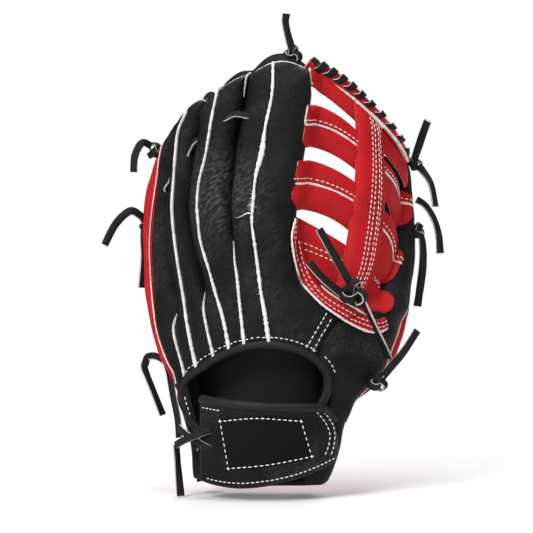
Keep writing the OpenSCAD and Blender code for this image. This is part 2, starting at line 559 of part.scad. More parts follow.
module web_knot() {
    t = 142;
    mm = through(bar_line, t);
    knot(at(web_r(web_share(mm, t)) + 2 * strap_t + 3 * layer_gap + knot_lift, degrees(mm), t), [0, 0, 0]);
}
module thumb_knots() {
    for (c = [[0.68, thumb_top - 10], [0.68, 176], [0.62, 72]])
        let (u = c[0], t = c[1])
        knot(at(thumb_r(u, t) + back_t + welt_h + knot_lift, thumb_back_angle(u, t), t), [0, 0, 0]);
}

// Tails of lace: points chosen by hand, from the knot to the bare end
tails = [
    ["tail_index_tip", [[13, 32, 313], [15, 28, 323], [15, 24, 334], [16, 20, 345]]],
    ["tail_pinky_side_upper", [[-90, 66, 188], [-97, 62, 191], [-107, 58, 182], [-115, 57, 167]]],
    ["tail_pinky_side_lower", [[-87, 69, 174], [-87, 66, 158], [-89, 66, 136]]],
    ["tail_pinky_heel", [[-86, 46, 79], [-81, 45, 66], [-73, 44, 46]]],
    ["tail_strap", [[-62, 7, 23], [-61, 2, 12], [-59, -2, -7]]],
    ["tail_web_up", [[67, 9, 150], [54, 2, 164], [39, -2, 180]]],
    ["tail_web_loop", [[64, 9, 142], [50, 0, 147], [36, -4, 157], [30, -5, 149]]],
    ["tail_web_down", [[74, 9, 134], [80, 6, 114], [87, 6, 94]]],
    ["tail_thumb_tip_up", [[110, 88, 234], [113, 80, 244], [117, 72, 256]]],
    ["tail_thumb_tip_out", [[114, 89, 220], [120, 84, 210], [123, 80, 194]]],
    ["tail_thumb_tip_thin", [[123, 94, 184], [126, 92, 173], [127, 90, 160], [127, 90, 146]]],
    ["tail_thumb_side", [[116, 86, 168], [114, 83, 150], [110, 78, 122]]],
    ["tail_thumb_heel", [[86, 10, 80], [97, 12, 93], [107, 16, 108]]]];
function tail_points(name) = tails[search([name], tails)[0]][1];
module loose_tail(name) { tail(tail_points(name), 8); }
module tail_index_tip() { loose_tail("tail_index_tip"); }
module tail_pinky_side_upper() { loose_tail("tail_pinky_side_upper"); }
module tail_pinky_side_lower() { loose_tail("tail_pinky_side_lower"); }
module tail_pinky_heel() { loose_tail("tail_pinky_heel"); }
module tail_strap() { loose_tail("tail_strap"); }
module tail_web_up() { loose_tail("tail_web_up"); }
module tail_web_loop() { loose_tail("tail_web_loop"); }
module tail_web_down() { loose_tail("tail_web_down"); }
module tail_thumb_tip_up() { loose_tail("tail_thumb_tip_up"); }
module tail_thumb_tip_out() { loose_tail("tail_thumb_tip_out"); }
module tail_thumb_tip_thin() { loose_tail("tail_thumb_tip_thin"); }
module tail_thumb_side() { loose_tail("tail_thumb_side"); }
module tail_thumb_heel() { loose_tail("tail_thumb_heel"); }

pinky_back();
ring_back_outer();
ring_back_inner();
middle_back_outer();
middle_back_inner();
index_back_outer();
index_back_inner();
heel_corner_back();
finger_welts();
fork_welts();
palm_shell();
palm_lining();
palm_felt();
finger_felts();
pinky_lining();
ring_lining();
middle_lining();
index_lining();
wrist_binding();
finger_tip_lace();
finger_ties();
finger_knots();
pinky_heel_lace();
strap_lace();
wrist_strap();
strap_lining();
strap_patch();
thumb_back();
thumb_palm();
thumb_lining();
thumb_felt();
thumb_edge_welt();
thumb_binding();
web_top_rail();
web_centre_bar();
web_strap_1();
web_strap_2();
web_strap_3();
web_strap_4();
web_base();
web_top_lace();
web_knot();
thumb_knots();
tail_index_tip();
tail_pinky_side_upper();
tail_pinky_side_lower();
tail_pinky_heel();
tail_strap();
tail_web_up();
tail_web_loop();
tail_web_down();
tail_thumb_tip_up();
tail_thumb_tip_out();
tail_thumb_tip_thin();
tail_thumb_side();
tail_thumb_heel();
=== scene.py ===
"""Builds the looks of a five-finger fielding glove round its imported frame."""

import itertools
import math

import bpy
import numpy as np
from bpy.props import FloatProperty, FloatVectorProperty, IntProperty, PointerProperty
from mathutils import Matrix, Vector
from mathutils.bvhtree import BVHTree


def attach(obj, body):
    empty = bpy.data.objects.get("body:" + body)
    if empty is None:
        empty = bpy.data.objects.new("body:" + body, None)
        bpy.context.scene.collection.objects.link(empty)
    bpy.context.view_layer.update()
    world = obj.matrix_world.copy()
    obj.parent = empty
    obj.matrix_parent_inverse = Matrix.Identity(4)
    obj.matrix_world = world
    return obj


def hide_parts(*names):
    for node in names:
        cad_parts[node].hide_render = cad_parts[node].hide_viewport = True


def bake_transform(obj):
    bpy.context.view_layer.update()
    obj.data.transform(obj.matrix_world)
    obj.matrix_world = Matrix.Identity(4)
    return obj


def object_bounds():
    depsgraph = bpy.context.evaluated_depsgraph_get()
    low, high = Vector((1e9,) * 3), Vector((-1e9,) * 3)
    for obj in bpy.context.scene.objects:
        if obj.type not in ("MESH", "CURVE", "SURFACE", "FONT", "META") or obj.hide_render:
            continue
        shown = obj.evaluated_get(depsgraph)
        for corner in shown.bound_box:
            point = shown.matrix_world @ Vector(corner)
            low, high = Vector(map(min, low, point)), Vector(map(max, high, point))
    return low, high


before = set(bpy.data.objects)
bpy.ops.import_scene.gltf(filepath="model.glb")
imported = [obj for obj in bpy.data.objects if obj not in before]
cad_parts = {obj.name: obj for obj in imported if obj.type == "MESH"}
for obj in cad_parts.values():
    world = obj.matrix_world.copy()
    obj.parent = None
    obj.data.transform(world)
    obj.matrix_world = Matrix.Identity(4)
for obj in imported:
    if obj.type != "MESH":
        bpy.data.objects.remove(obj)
CAD_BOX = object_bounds()

bl_info = {
    "name": "Fielding glove",
    "version": (1, 0, 0),
    "blender": (4, 5, 0),
    "location": "View3D > Sidebar > Glove",
    "description": "Makes the hides, welts, laces and stitches of a fielding glove",
    "category": "Object",
}

MM = 0.001

# ---------------------------------------------------------------- sizes and colours


def length(name, description, default):
    """A length that a user may change, in metres."""
    return FloatProperty(name=name, description=description, default=default, min=0.0, unit="LENGTH", precision=5)


def tint(name, description, default):
    """A colour that a user may change."""
    return FloatVectorProperty(
        name=name, description=description, default=default, size=3, min=0.0, max=1.0, subtype="COLOR"
    )


class GloveSizes(bpy.types.PropertyGroup):
    """Sizes of the trim and of the sewing"""

    welt_width: length("Welt width", "Width of a white welt between two hides", 0.0015)
    edge_width: length("Raw edge", "Width of a raw edge that shows", 0.0013)
    lace_width: length("Lace width", "Width of a flat lace", 0.0056)
    lace_thick: length("Lace thickness", "Thickness of a flat lace", 0.0019)
    stitch_length: length("Stitch length", "Length of one stitch", 0.0030)
    stitch_pitch: length("Stitch pitch", "Distance from one stitch to the next", 0.0042)
    thread_width: length("Thread width", "Width of the sewing thread", 0.00085)
    hide_roll: length("Hide edge", "How far in a hide's edge is rounded", 0.0030)
    puff: length("Puff", "How far a finger's hide swells between its seams", 0.0012)
    binding_radius: length("Binding radius", "Radius of the rolled binding", 0.0033)
    rail_turns: IntProperty(name="Rail turns", description="Turns of lace on the web's rail", default=10, min=6, max=14)


class GloveColours(bpy.types.PropertyGroup):
    """Colours of the hides, laces and thread"""

    black_hide: tint("Black hide", "Colour of the back", (0.0066, 0.0065, 0.0062))
    red_hide: tint("Red hide", "Colour of the palm and the web", (0.445, 0.0070, 0.0105))
    raw_hide: tint("Raw hide", "Colour of the welts and of cut edges", (0.80, 0.775, 0.735))
    thread: tint("Thread", "Colour of the stitches", (0.86, 0.84, 0.80))
    lace: tint("Lace", "Colour of a lace's broad side", (0.0070, 0.0070, 0.0072))
    lace_edge: tint("Lace edge", "Colour of a lace's cut edge", (0.56, 0.545, 0.52))
    lining: tint("Lining", "Colour of the lining", (0.0070, 0.0069, 0.0067))
    felt: tint("Felt", "Colour of the felt", (0.66, 0.62, 0.53))
    floor: tint("Floor", "Colour of the floor", (0.90, 0.90, 0.90))


def size(name):
    """One of the user's lengths, in mm."""
    return getattr(bpy.context.scene.glove_sizes, name) / MM


def colour(name):
    return tuple(getattr(bpy.context.scene.glove_colours, name))


# ---------------------------------------------------------------- the glove's layout, in mm

SHIFT, DEPTH, TIP_CURL = 13.0, 93.0, 16.0
POCKET_R, PALM_T, BACK_T, FELT_T, LINING_T = 68.0, 3.0, 2.4, 5.0, 1.2
STALL_H, THUMB_H, HAND_RISE = 14.0, 13.0, 6.0
LAYER_GAP, LINING_GAP, SIDE_GAP = 0.5, 1.5, 1.2
BINDING_R = 3.2
FELT_IN = POCKET_R + PALM_T + LAYER_GAP
LINING_IN = FELT_IN + FELT_T + LAYER_GAP
STALL_IN = LINING_IN + LINING_T
VALLEY_IN = STALL_IN + LAYER_GAP
CROWN_IN = STALL_IN + STALL_H + LINING_T + LINING_GAP
CROWN_R = CROWN_IN + BACK_T
THUMB_CROWN_IN = STALL_IN + THUMB_H + LINING_T + LINING_GAP
STRAP_T, BAR_W, RAIL_W = 3.0, 29.0, 11.0
WRIST_R, WRIST_W, WRIST_T = 66.0, 52.0, 3.0
FLAP_T, CREASE_GAP, CREASE_TOP = 52.0, 3.6, 108.0
TOPS, THUMB_TOP = (248.0, 272.0, 288.0, 300.0), 236.0
FORK_T = (125.0, 138.0, 172.0)
TIP_ROUND, TIP_CAP = 8.0, 22.0
PINKY_RIDGE = [[0, 0.1], [50, 0.12], [60, 0.22], [70, 0.44], [80, 0.58], [250, 0.58]]
FINGERS, WIDTHS = ("pinky", "ring", "middle", "index"), (27.0, 32.0, 38.0, 52.0)

LINE_0 = [[0, -74], [30, -77], [77, -90], [107, -109], [150, -130], [184, -138], [250, -128]]
LINE_1 = [[0, -60], [40, -63], [80, -73], [92, -77.4], [102, -81.3], [114, -84.6], [126, -88], [140, -95], [155, -102],
          [184, -110], [243, -107]]
LINE_2 = [[80, -45.6], [92, -48.4], [112, -54.1], [128, -59.3], [138, -62.5], [155, -71], [170, -78], [184, -82.5],
          [200, -85], [250, -80]]
LINE_3 = [[90, -25], [99, -26.2], [116, -28.5], [133, -31.3], [150, -33.8], [165, -37], [178, -41.4], [197, -45],
          [220, -43.6], [243, -41.5], [270, -36], [290, -34]]
LINE_4 = [[80, 20], [88, 20.8], [95, 22.9], [105, 27.6], [112, 33], [117, 37], [121, 36.5], [125, 34], [129, 29.5],
          [134, 23], [139, 16.5], [146, 12.4], [160, 10.5], [175, 10], [190, 11.6], [229, 18.4], [240, 21], [266, 25.8],
          [276, 27.3], [298, 25]]
LINES = [LINE_0, LINE_1, LINE_2, LINE_3, LINE_4]
# Where the welts on the ring, middle and index fingers lie, seen from the front: height and across
RIDGES = [
    None,
    [[77.8, -46.7], [85.2, -49.5], [112.9, -55.3], [129.2, -57.6], [156.4, -62], [169, -63.7], [185.4, -65.4],
     [197, -65.8], [212.4, -64.7], [233.9, -63.2], [248.5, -61.3], [259, -57], [272, -52]],
    [[89, -24], [96, -25.5], [117.7, -29.9], [135.3, -35.4], [151.5, -40], [167.1, -44.8], [174, -46.3], [185.4, -47.5],
     [197, -48.1], [212.4, -46.7], [231.6, -42], [258.5, -37.5], [277.3, -33.5]],
    [[97, 2.8], [104.1, 1.9], [121.7, -0.8], [138, -3.5], [150.2, -5], [171.9, -7.9], [184, -9.5], [197, -8.7],
     [216.3, -6.8], [233.1, -2.5], [250.8, 0], [273.8, 4.7], [296, 5.6]],
]
# The little finger's side, seen from the front: where its black hide ends, and how far the red one stands out past it
PINKY_OUT = [[78, -65.6], [86.7, -69.6], [99.8, -74.6], [112.5, -77.6], [129.5, -79.4], [148, -80.6], [162.7, -81.2],
             [180, -80.4], [202, -77.6], [216, -75.8], [227, -75.0], [242, -72.0], [250, -68]]
PINKY_RED = [[70, 1.6], [88, 2.4], [99.8, 1.6], [112.5, 1.6], [124, 2.4], [136, 3.6], [159, 3.6], [188, 5.8],
             [206, 6.0], [220, 3.4], [230, 1.4], [245, 0.2]]
PALM_EDGE = [[97, 25.5], [112, 25], [124, 20], [143, 12], [160, 10], [175, 9.6], [190, 11.2], [229, 18], [240, 20.6],
             [266, 25.4], [276, 26.9], [298, 24.6]]
THUMB_PALM_EDGE = [[FLAP_T, 33], [100, 29.5], [108, 31], [113, 46], [118, 64], [128, 82], [150, 100],
                   [175, 114], [207, 125], [236, 126]]
THUMB_INNER = [[44, 31], [60, 31], [74, 30.8], [81, 29], [87, 24.5], [93, 19.5], [100, 20], [106, 22.5], [110, 24.5],
               [113, 28], [115, 34], [116.5, 42], [118, 52], [119.5, 62], [121.5, 72], [125, 81], [130, 87.5],
               [138, 94], [150, 106], [163, 120], [175, 132], [190, 142], [207, 144], [225, 141], [236, 138]]
THUMB_OUTER = [[0, 31], [4, 36], [10, 39.5], [20, 43.5], [36, 48.5], [45, 52], [55, 56], [60, 59.5], [68, 71], [76, 86],
               [90, 101], [107, 114], [122, 123], [136, 132], [150, 146], [165, 158], [200, 168], [236, 166]]
THUMB_RIDGE = [[44, 0.78], [110, 0.78], [130, 0.84], [150, 0.93], [236, 0.93]]
RIM = [[-100, 50], [-84, 58], [-76, 66.5], [-70, 74.3], [-58.4, 82], [-42.8, 91.3], [-26, 97.6], [-10.4, 99.4],
       [3.2, 97.6], [13.9, 93.7], [23.6, 87.7], [29.2, 79.2], [31, 70]]
# Middle line of the binding seen from the front: across and height
OPENING = [[-43, 33], [-50, 42], [-55.5, 51], [-58.4, 59], [-58.3, 67.5], [-54.2, 75], [-44.6, 82.2], [-30.4, 91.3],
           [-14.1, 97.6], [2.1, 99.4], [16.3, 97.6], [27.6, 93.7], [37.5, 87], [42.9, 78.5], [43.6, 69], [40.5, 60],
           [35, 52]]
STRAP_TS = [[284.5, 221, 14, 20, 6], [253, 193, 30, 24, 6.5], [211.5, 152, 35, 32, 6]]
STRAP_OVER = (5.0, 6.5, 5.0, 2.5)
RAIL_LINE = [[0, 296.5], [0.2, 289.5], [0.45, 276.5], [0.66, 262], [0.84, 246], [1, 231]]
BAR_LINE = [[116, 44], [126, 51], [135, 57], [146, 63], [160, 69], [206, 82], [262, 88]]
BAR_WIDE = [[126, 0.9], [150, 1.08], [195, 1.2], [230, 1.08], [270, 1.0]]
BASE_LOW = [[0, [9.0, 187]], [0.12, [6.0, 172]], [0.28, [11.5, 148]], [0.46, [24.5, 129]], [0.64, [44, 114.5]],
            [0.8, [60, 107.5]], [0.92, [70, 107.5]], [1, [77, 110]]]
BASE_HIGH = [[0, [13.0, 187]], [0.12, [14.5, 172]], [0.28, [20.5, 151.5]], [0.46, [31.5, 136]], [0.64, [48.5, 124]],
             [0.8, [61.5, 117.5]], [0.92, [69.5, 116]], [1, [75, 117]]]
TAILS = {
    "tail_index_tip": [[20, 34, 297], [18.8, 32, 306], [16, 30, 316], [14.2, 28, 325], [15, 27, 331]],
    "tail_pinky_side_upper": [[-87, 69.5, 184], [-90, 66, 188], [-97, 62, 191], [-107, 58, 182], [-115, 57, 167]],
    "tail_pinky_side_lower": [[-86.5, 70.5, 181], [-87, 69, 174], [-87, 66, 158], [-89, 66, 136]],
    "tail_pinky_heel": [[-85.4, 45.4, 83], [-86, 46, 79], [-81, 45, 66], [-73, 44, 46]],
    "tail_strap": [[-62.5, 9.5, 27], [-61, 2, 12], [-59, -2, -7]],
    "tail_web_up": [[63, 1, 136], [59, -3, 143], [49, -9, 160], [37.5, -11, 180]],
    "tail_web_loop": [[61, 1, 133], [54, -5, 135], [45, -9, 141.5], [37, -11, 149], [30.5, -11, 157]],
    "tail_web_down": [[64, 0, 134], [70, -3, 126], [77.5, -2, 110], [83, 2, 98], [86.5, 6, 89]],
    "tail_thumb_tip_up": [[108.5, 92, 229], [110, 88, 234], [113, 80, 244], [117, 72, 256]],
    "tail_thumb_tip_out": [[111, 91.5, 223], [114, 89, 220], [120, 84, 210], [123, 80, 194]],
    "tail_thumb_tip_thin": [[110, 93, 199], [117, 94, 194], [123, 94, 184], [126, 92, 173], [127, 90, 160]],
    "tail_thumb_side": [[111.5, 88.5, 176], [114, 87, 168], [114, 83, 150], [110, 78, 122]],
    "tail_thumb_heel": [[80, 8, 73], [86, 10, 80], [97, 12, 93], [107, 16, 108]],
}
TAIL_BODY = {"tail_index_tip": "hand", "tail_pinky_side_upper": "hand", "tail_pinky_side_lower": "hand",
             "tail_pinky_heel": "hand", "tail_strap": "strap"}
# The wrist strap's ends in degrees, the middle of its round, and its patch's outline and sewn row: degrees and height
STRAP_LEFT, STRAP_RIGHT = -46.0, 43.0
STRAP_X, STRAP_Y = 3.0, WRIST_R - 27
PATCH_EDGE = [(-30.4, 48.4), (-6.0, 51.2), (19.4, 48.9), (26.2, 21.6), (0.0, 16.2), (-25.0, 12.9)]
PATCH_ROW = [(-29.0, 47.0), (-6.0, 49.8), (18.2, 47.5), (24.6, 22.8), (0.0, 17.7), (-23.9, 14.4)]
# What the camera looks at, from how far, and the width of its picture there
AIM, CAMERA_FAR, PICTURE_WIDTH = (1.0, 30.0, 152.5), 2300.0, 533 * 0.7075


def mix(a, b, u):
    return a + (b - a) * u


def ease(u):
    c = np.clip(u, 0.0, 1.0)
    return c * c * (3 - 2 * c)


def hump(u):
    return np.sin(np.pi * u)


def bell(x, middle, width):
    return np.exp(-((x - middle) / width) ** 2)


def number(curve, *where):
    """One number from a curve that is made for arrays."""
    return float(curve(*where[:-1], np.array(where[-1])))


def through(points, place):
    """Smooth curve through [place, value] points."""
    xs = np.array([p[0] for p in points], float)
    ys = np.array([p[1] for p in points], float)
    n = len(xs)
    before, after = np.maximum(np.arange(n) - 1, 0), np.minimum(np.arange(n) + 1, n - 1)
    run = xs[after] - xs[before]
    slopes = (ys[after] - ys[before]) / (run[:, None] if ys.ndim == 2 else run)
    t = np.clip(np.asarray(place, float), xs[0], xs[-1])
    i = np.clip(np.searchsorted(xs, t, side="right") - 1, 0, n - 2)
    w = xs[i + 1] - xs[i]
    u = (t - xs[i]) / w
    if ys.ndim == 2:
        w, u = w[..., None], u[..., None]
    return ((2 * u**3 - 3 * u**2 + 1) * ys[i] + (u**3 - 2 * u**2 + u) * w * slopes[i]
            + (3 * u**2 - 2 * u**3) * ys[i + 1] + (u**3 - u**2) * w * slopes[i + 1])


def along(points, n):
    """Points along a smooth curve through a few chosen ones."""
    p = np.asarray(points, float)
    s = np.linspace(0, len(p) - 1, n + 1)
    i = np.minimum(s.astype(int), len(p) - 2)
    f = (s - i)[:, None]
    a, b, c, d = p[np.maximum(i - 1, 0)], p[i], p[i + 1], p[np.minimum(i + 2, len(p) - 1)]
    return 0.5 * (2 * b + (c - a) * f + (2 * a - 5 * b + 4 * c - d) * f**2 + (3 * b - 3 * c + d - a) * f**3)


def degrees(mm):
    return np.asarray(mm, float) / CROWN_R * 180 / math.pi


def curl(t):
    return TIP_CURL * (np.maximum(0, np.asarray(t, float) - 130) / (TOPS[3] - 130)) ** 2


def at(r, a, t):
    """A point of the glove: layer radius, place across in degrees, height."""
    r, a, t = np.broadcast_arrays(np.asarray(r, float), np.asarray(a, float), np.asarray(t, float))
    q = r - curl(t)
    a = np.radians(a)
    return np.stack([SHIFT + q * np.sin(a), DEPTH - q * np.cos(a), t], axis=-1)


def angle_at_x(r, x, t):
    return np.degrees(np.arcsin(np.clip((x - SHIFT) / (r - curl(t)), -1, 1)))


def hinge_x(t):
    return 49.0 - 22.0 * np.asarray(t, float) / 290.0


def away(p):
    """Away from the pocket's axis."""
    v = np.asarray(p, float) - [SHIFT, DEPTH, 0]
    v[..., 2] = 0
    return v / np.linalg.norm(v, axis=-1, keepdims=True)


def cap(top, t):
    return np.sqrt(np.maximum(0, 1 - (np.maximum(0, t - top + TIP_CAP) / TIP_CAP) ** 2))


def arch(v):
    return (1 - np.minimum(1, np.abs(v)) ** 2.4) ** (1 / 2.4)


def rise(t):
    return HAND_RISE * ease((150 - t) / 50) * (1 - ease((62 - t) / 40))


def low_of(i, u):
    """Height at which a finger's back meets the binding."""
    t = np.full_like(np.asarray(u, float), 3.0 if i == 0 else 90.0)
    for _ in range(0 if i == 0 else 6):
        t = through(RIM, mix(through(LINES[i], t), through(LINES[i + 1], t), u)) + BINDING_R * 0.6
    return t


def tip_of(i, u):
    """Height of a finger's tip: the tips rise from the little finger to the index finger."""
    left, right, up = ((241, 262, 3), (262, 271, 3.5), (268, 290, 2), (289.5, 293, 6))[i]
    return mix(left, right, u) + up * hump(u) - 2.5 * (1 - np.sqrt(np.maximum(0, 1 - (2 * u - 1) ** 2)))


def across(i, u, t, margin):
    m = degrees(margin)
    return mix(degrees(through(LINES[i], t)) + m, degrees(through(LINES[i + 1], t)) - m, u)


def left_down(i, t):
    return np.ones_like(t) if i == 0 else ease((t - FORK_T[i - 1] + 18) / 36)


def right_down(i, t):
    return ease((t - 116) / 30) if i == 3 else ease((t - FORK_T[i] + 18) / 36)


def stall_r(i, u, t):
    """Radius of the inside of a finger's back."""
    u, t = np.asarray(u, float), np.asarray(t, float)
    v = 2 * u - 1
    down = np.where(v < 0, left_down(i, t + 0 * u), right_down(i, t + 0 * u))
    return mix(CROWN_IN + rise(t), VALLEY_IN, np.maximum(down * (1 - arch(v)), 1 - cap(tip_of(i, u), t)))


def seen_x(x, y):
    """Across of a point at depth y that the camera sees at x in the middle plane."""
    return AIM[0] + (x - AIM[0]) * (CAMERA_FAR + y - AIM[1]) / CAMERA_FAR


def ridge(i, t):
    """Share across a finger at which its welt lies."""
    t = np.asarray(t, float)
    if i == 0:
        return through(PINKY_RIDGE, t)
    u = np.full_like(t, 0.45)
    for _ in range(8):
        r = stall_r(i, u, t) + BACK_T
        x = through(RIDGES[i], t)
        y = DEPTH - np.sqrt(np.maximum(1, (r - curl(t)) ** 2 - (x - SHIFT) ** 2))
        mm = np.radians(angle_at_x(r, seen_x(x, y), t)) * CROWN_R
        left, right = through(LINES[i], t), through(LINES[i + 1], t)
        u = np.clip(mix(u, (mm - left) / (right - left), 0.8), 0.2, 0.8)
    return u


def pinky_shift(u, t):
    """How far the little finger's side stands out to the left of its round."""
    k = ridge(0, t)
    edge = at(stall_r(0, k, t) + BACK_T, across(0, k, t, 0), t)
    out = seen_x(through(PINKY_OUT, t), edge[..., 1]) - edge[..., 0]
    out = out * ease((t - 66) / 20) * (1 - ease((t - 236) / 12))
    over = (k - u) / k
    black = out * (1 - ease((u - k) / (1 - k)))
    red = out * (1 - over**2) - through(PINKY_RED, t) * hump(np.clip(over * 1.5, 0, 1)) * ease((t - 60) / 20)
    return np.stack([np.where(over > 0, red, black), 0 * t, 0 * t], axis=-1)


def beside_welt(w):
    return 0.95 / w


def thumb_tip(u):
    return THUMB_TOP - 15 * (1 - np.sqrt(np.maximum(0, 1 - (2 * u - 1) ** 2)))


def thumb_left(r, t, past):
    """Where the thumb's front begins: beside the crease, and above that along the web."""
    below = np.minimum(t, CREASE_TOP)
    low = angle_at_x(r, hinge_x(below) + past, below)
    return mix(low, degrees(through(THUMB_PALM_EDGE, t)), ease((t - CREASE_TOP) / 8))


def thumb_angle(r, u, t, past, inset):
    return mix(thumb_left(r, t, past), degrees(through(THUMB_OUTER, t) - inset), u)


def thumb_closed(t, tip):
    """How far the thumb's back is drawn in at its tip, down to the palm's hide."""
    return (VALLEY_IN - POCKET_R - PALM_T - 0.3) * ease((t - tip + 10) / 10)


def thumb_r(u, t):
    v = 2 * u - 1
    down = np.where(v < 0, ease((t - 112) / 24), 1.0)
    return mix(THUMB_CROWN_IN + rise(t), VALLEY_IN, np.maximum(down * (1 - arch(v)), 1 - cap(THUMB_TOP, t)))


def thumb_back_angle(u, t):
    return degrees(mix(through(THUMB_INNER, t), through(THUMB_OUTER, t), u))


def web_r(u):
    return LINING_IN - STRAP_T / 2 + (VALLEY_IN - LINING_IN + 9) * ease(u)


def web_left(t):
    return through(PALM_EDGE, t) + 2 * SIDE_GAP


def web_right(t):
    return through(THUMB_INNER, np.maximum(t, 136)) - 2 * SIDE_GAP


def web_angle(u, t):
    return degrees(mix(web_left(t), web_right(t), u))


def web_share(mm, t):
    return (mm - web_left(t)) / (web_right(t) - web_left(t))


def rail_point(lift, u, off):
    t = through(RAIL_LINE, u) - 8 * np.maximum(0, u - 1) * 10
    a = web_angle(u, t)
    turn = np.radians(a)
    lean = np.stack([0.8 * np.cos(turn), 0.3 * np.sin(turn) + ease(u), 1 - 0.25 * ease(u)], axis=-1)
    lean /= np.linalg.norm(lean, axis=-1, keepdims=True)
    r = web_r(u) + STRAP_T / 2 + 8 * ease((u - 0.5) / 0.5) + lift
    return at(r, a, t) + np.asarray(off, float)[..., None] * lean


def base_r(mm, t):
    """The base lies on the index finger's back and on the thumb's, and spans the gap between them."""
    start, end, left, right = (through(c, t) for c in (LINE_3, LINE_4, THUMB_INNER, THUMB_OUTER))
    u = (mm - left) / (right - left)
    gap = np.clip((mm - end) / np.maximum(left - end, 1e-3), 0, 1)
    over = BACK_T + 2 * LAYER_GAP
    between = mix(stall_r(3, 1.0, t), thumb_r(0.0, t), gap) + over + 6 * hump(gap) * ease((t - 118) / 10)
    on_index = stall_r(3, np.clip((mm - start) / (end - start), 0, 1), t) + over
    return np.where(mm < end, on_index, np.where(u > 0, thumb_r(np.clip(u, 0, 1), t) + over, between))


def strap_at(r, a, t):
    """A point of the wrist strap, which has a round of its own."""
    r, a, t = np.broadcast_arrays(np.asarray(r, float), np.radians(np.asarray(a, float)), np.asarray(t, float))
    return np.stack([STRAP_X + r * np.sin(a), STRAP_Y - r * np.cos(a), t], axis=-1)


def strap_out(p):
    """Away from the middle of the wrist strap's round."""
    out = p - [STRAP_X, STRAP_Y, 0]
    out[:, 2] = 0
    return out


def strap_foot(a):
    return 0.5 + np.where(a < -18, 4 * ((a + 18) / 28) ** 2, 15 * (np.maximum(0, a + 18) / 56) ** 1.7)


def strap_head(a):
    corner = np.clip((a - 31) / 12, 0, 1) ** 2
    return WRIST_W + 5.4 - 2.6 * a / STRAP_RIGHT + 1.6 * (a / STRAP_RIGHT) ** 2 - 13 * corner


# ---------------------------------------------------------------- meshes


def ripple(p, step, seed):
    """Smooth noise from -1 to 1 over points in mm, the same each run."""
    q = np.asarray(p, float) / step + seed * 7.31
    i = np.floor(q).astype(np.int64)
    f = q - i
    f = f * f * (3 - 2 * f)
    total = 0.0
    for corner in itertools.product((0, 1), repeat=3):
        k = i + np.array(corner)
        h = (k[..., 0] * 374761393 + k[..., 1] * 668265263 + k[..., 2] * 1442695041 + seed * 974711) & 0xFFFFFFFF
        h = ((h ^ (h >> 13)) * 1274126177) & 0xFFFFFFFF
        value = ((h ^ (h >> 16)) & 0xFFFF) / 32767.5 - 1
        weight = np.prod(np.where(np.array(corner) == 1, f, 1 - f), axis=-1)
        total = total + weight * value
    return total


def shake(p, step, seed):
    """Smooth noise in all three directions."""
    return np.stack([ripple(p, step, seed + k) for k in range(3)], axis=-1)


def even(n):
    return np.linspace(0, 1, n)


def shares(width, step, ends=(0, 0.3, 0.8, 1.5, 2.4, 3.6)):
    """Shares from 0 to 1 across a width in mm, closer together near both ends."""
    near = [d / width for d in ends if d < width * 0.45]
    n = max(1, int(round((1 - 2 * near[-1]) * width / step)))
    inner = np.linspace(near[-1], 1 - near[-1], n + 1)
    return np.concatenate([near[:-1], inner, [1 - d for d in near[:-1]][::-1]])


SURFACES = {}


def added(name, data):
    o = bpy.data.objects.new(name, data)
    bpy.context.scene.collection.objects.link(o)
    return o


def inside_out(p, faces):
    """Whether a closed mesh has its faces turned inwards."""
    tri = np.array([[q[0], q[k], q[k + 1]] for q in faces for k in range(1, len(q) - 1)])
    a, b, c = p[tri[:, 0]], p[tri[:, 1]], p[tri[:, 2]]
    return np.einsum("ij,ij->i", a, np.cross(b, c)).sum() < 0


def add_mesh(name, points, faces, materials, face_material=None, edge=None, turned=False):
    """A smooth mesh object at the origin, from points in mm, its faces turned outwards unless they already are."""
    p = np.asarray(points, float) * MM
    f = [list(map(int, face)) for face in faces]
    if not turned and inside_out(p, f):
        f = [face[::-1] for face in f]
    mesh = bpy.data.meshes.new(name)
    mesh.from_pydata(p.tolist(), [], f)
    for m in materials:
        mesh.materials.append(m)
    if face_material is not None:
        mesh.polygons.foreach_set("material_index", np.asarray(face_material, np.int32))
    if edge is not None:
        mesh.attributes.new("edge", "FLOAT", "POINT").data.foreach_set("value", np.asarray(edge, np.float32))
    mesh.polygons.foreach_set("use_smooth", np.ones(len(f), bool))
    mesh.update()
    SURFACES[name] = (p, f)
    return added(name, mesh)


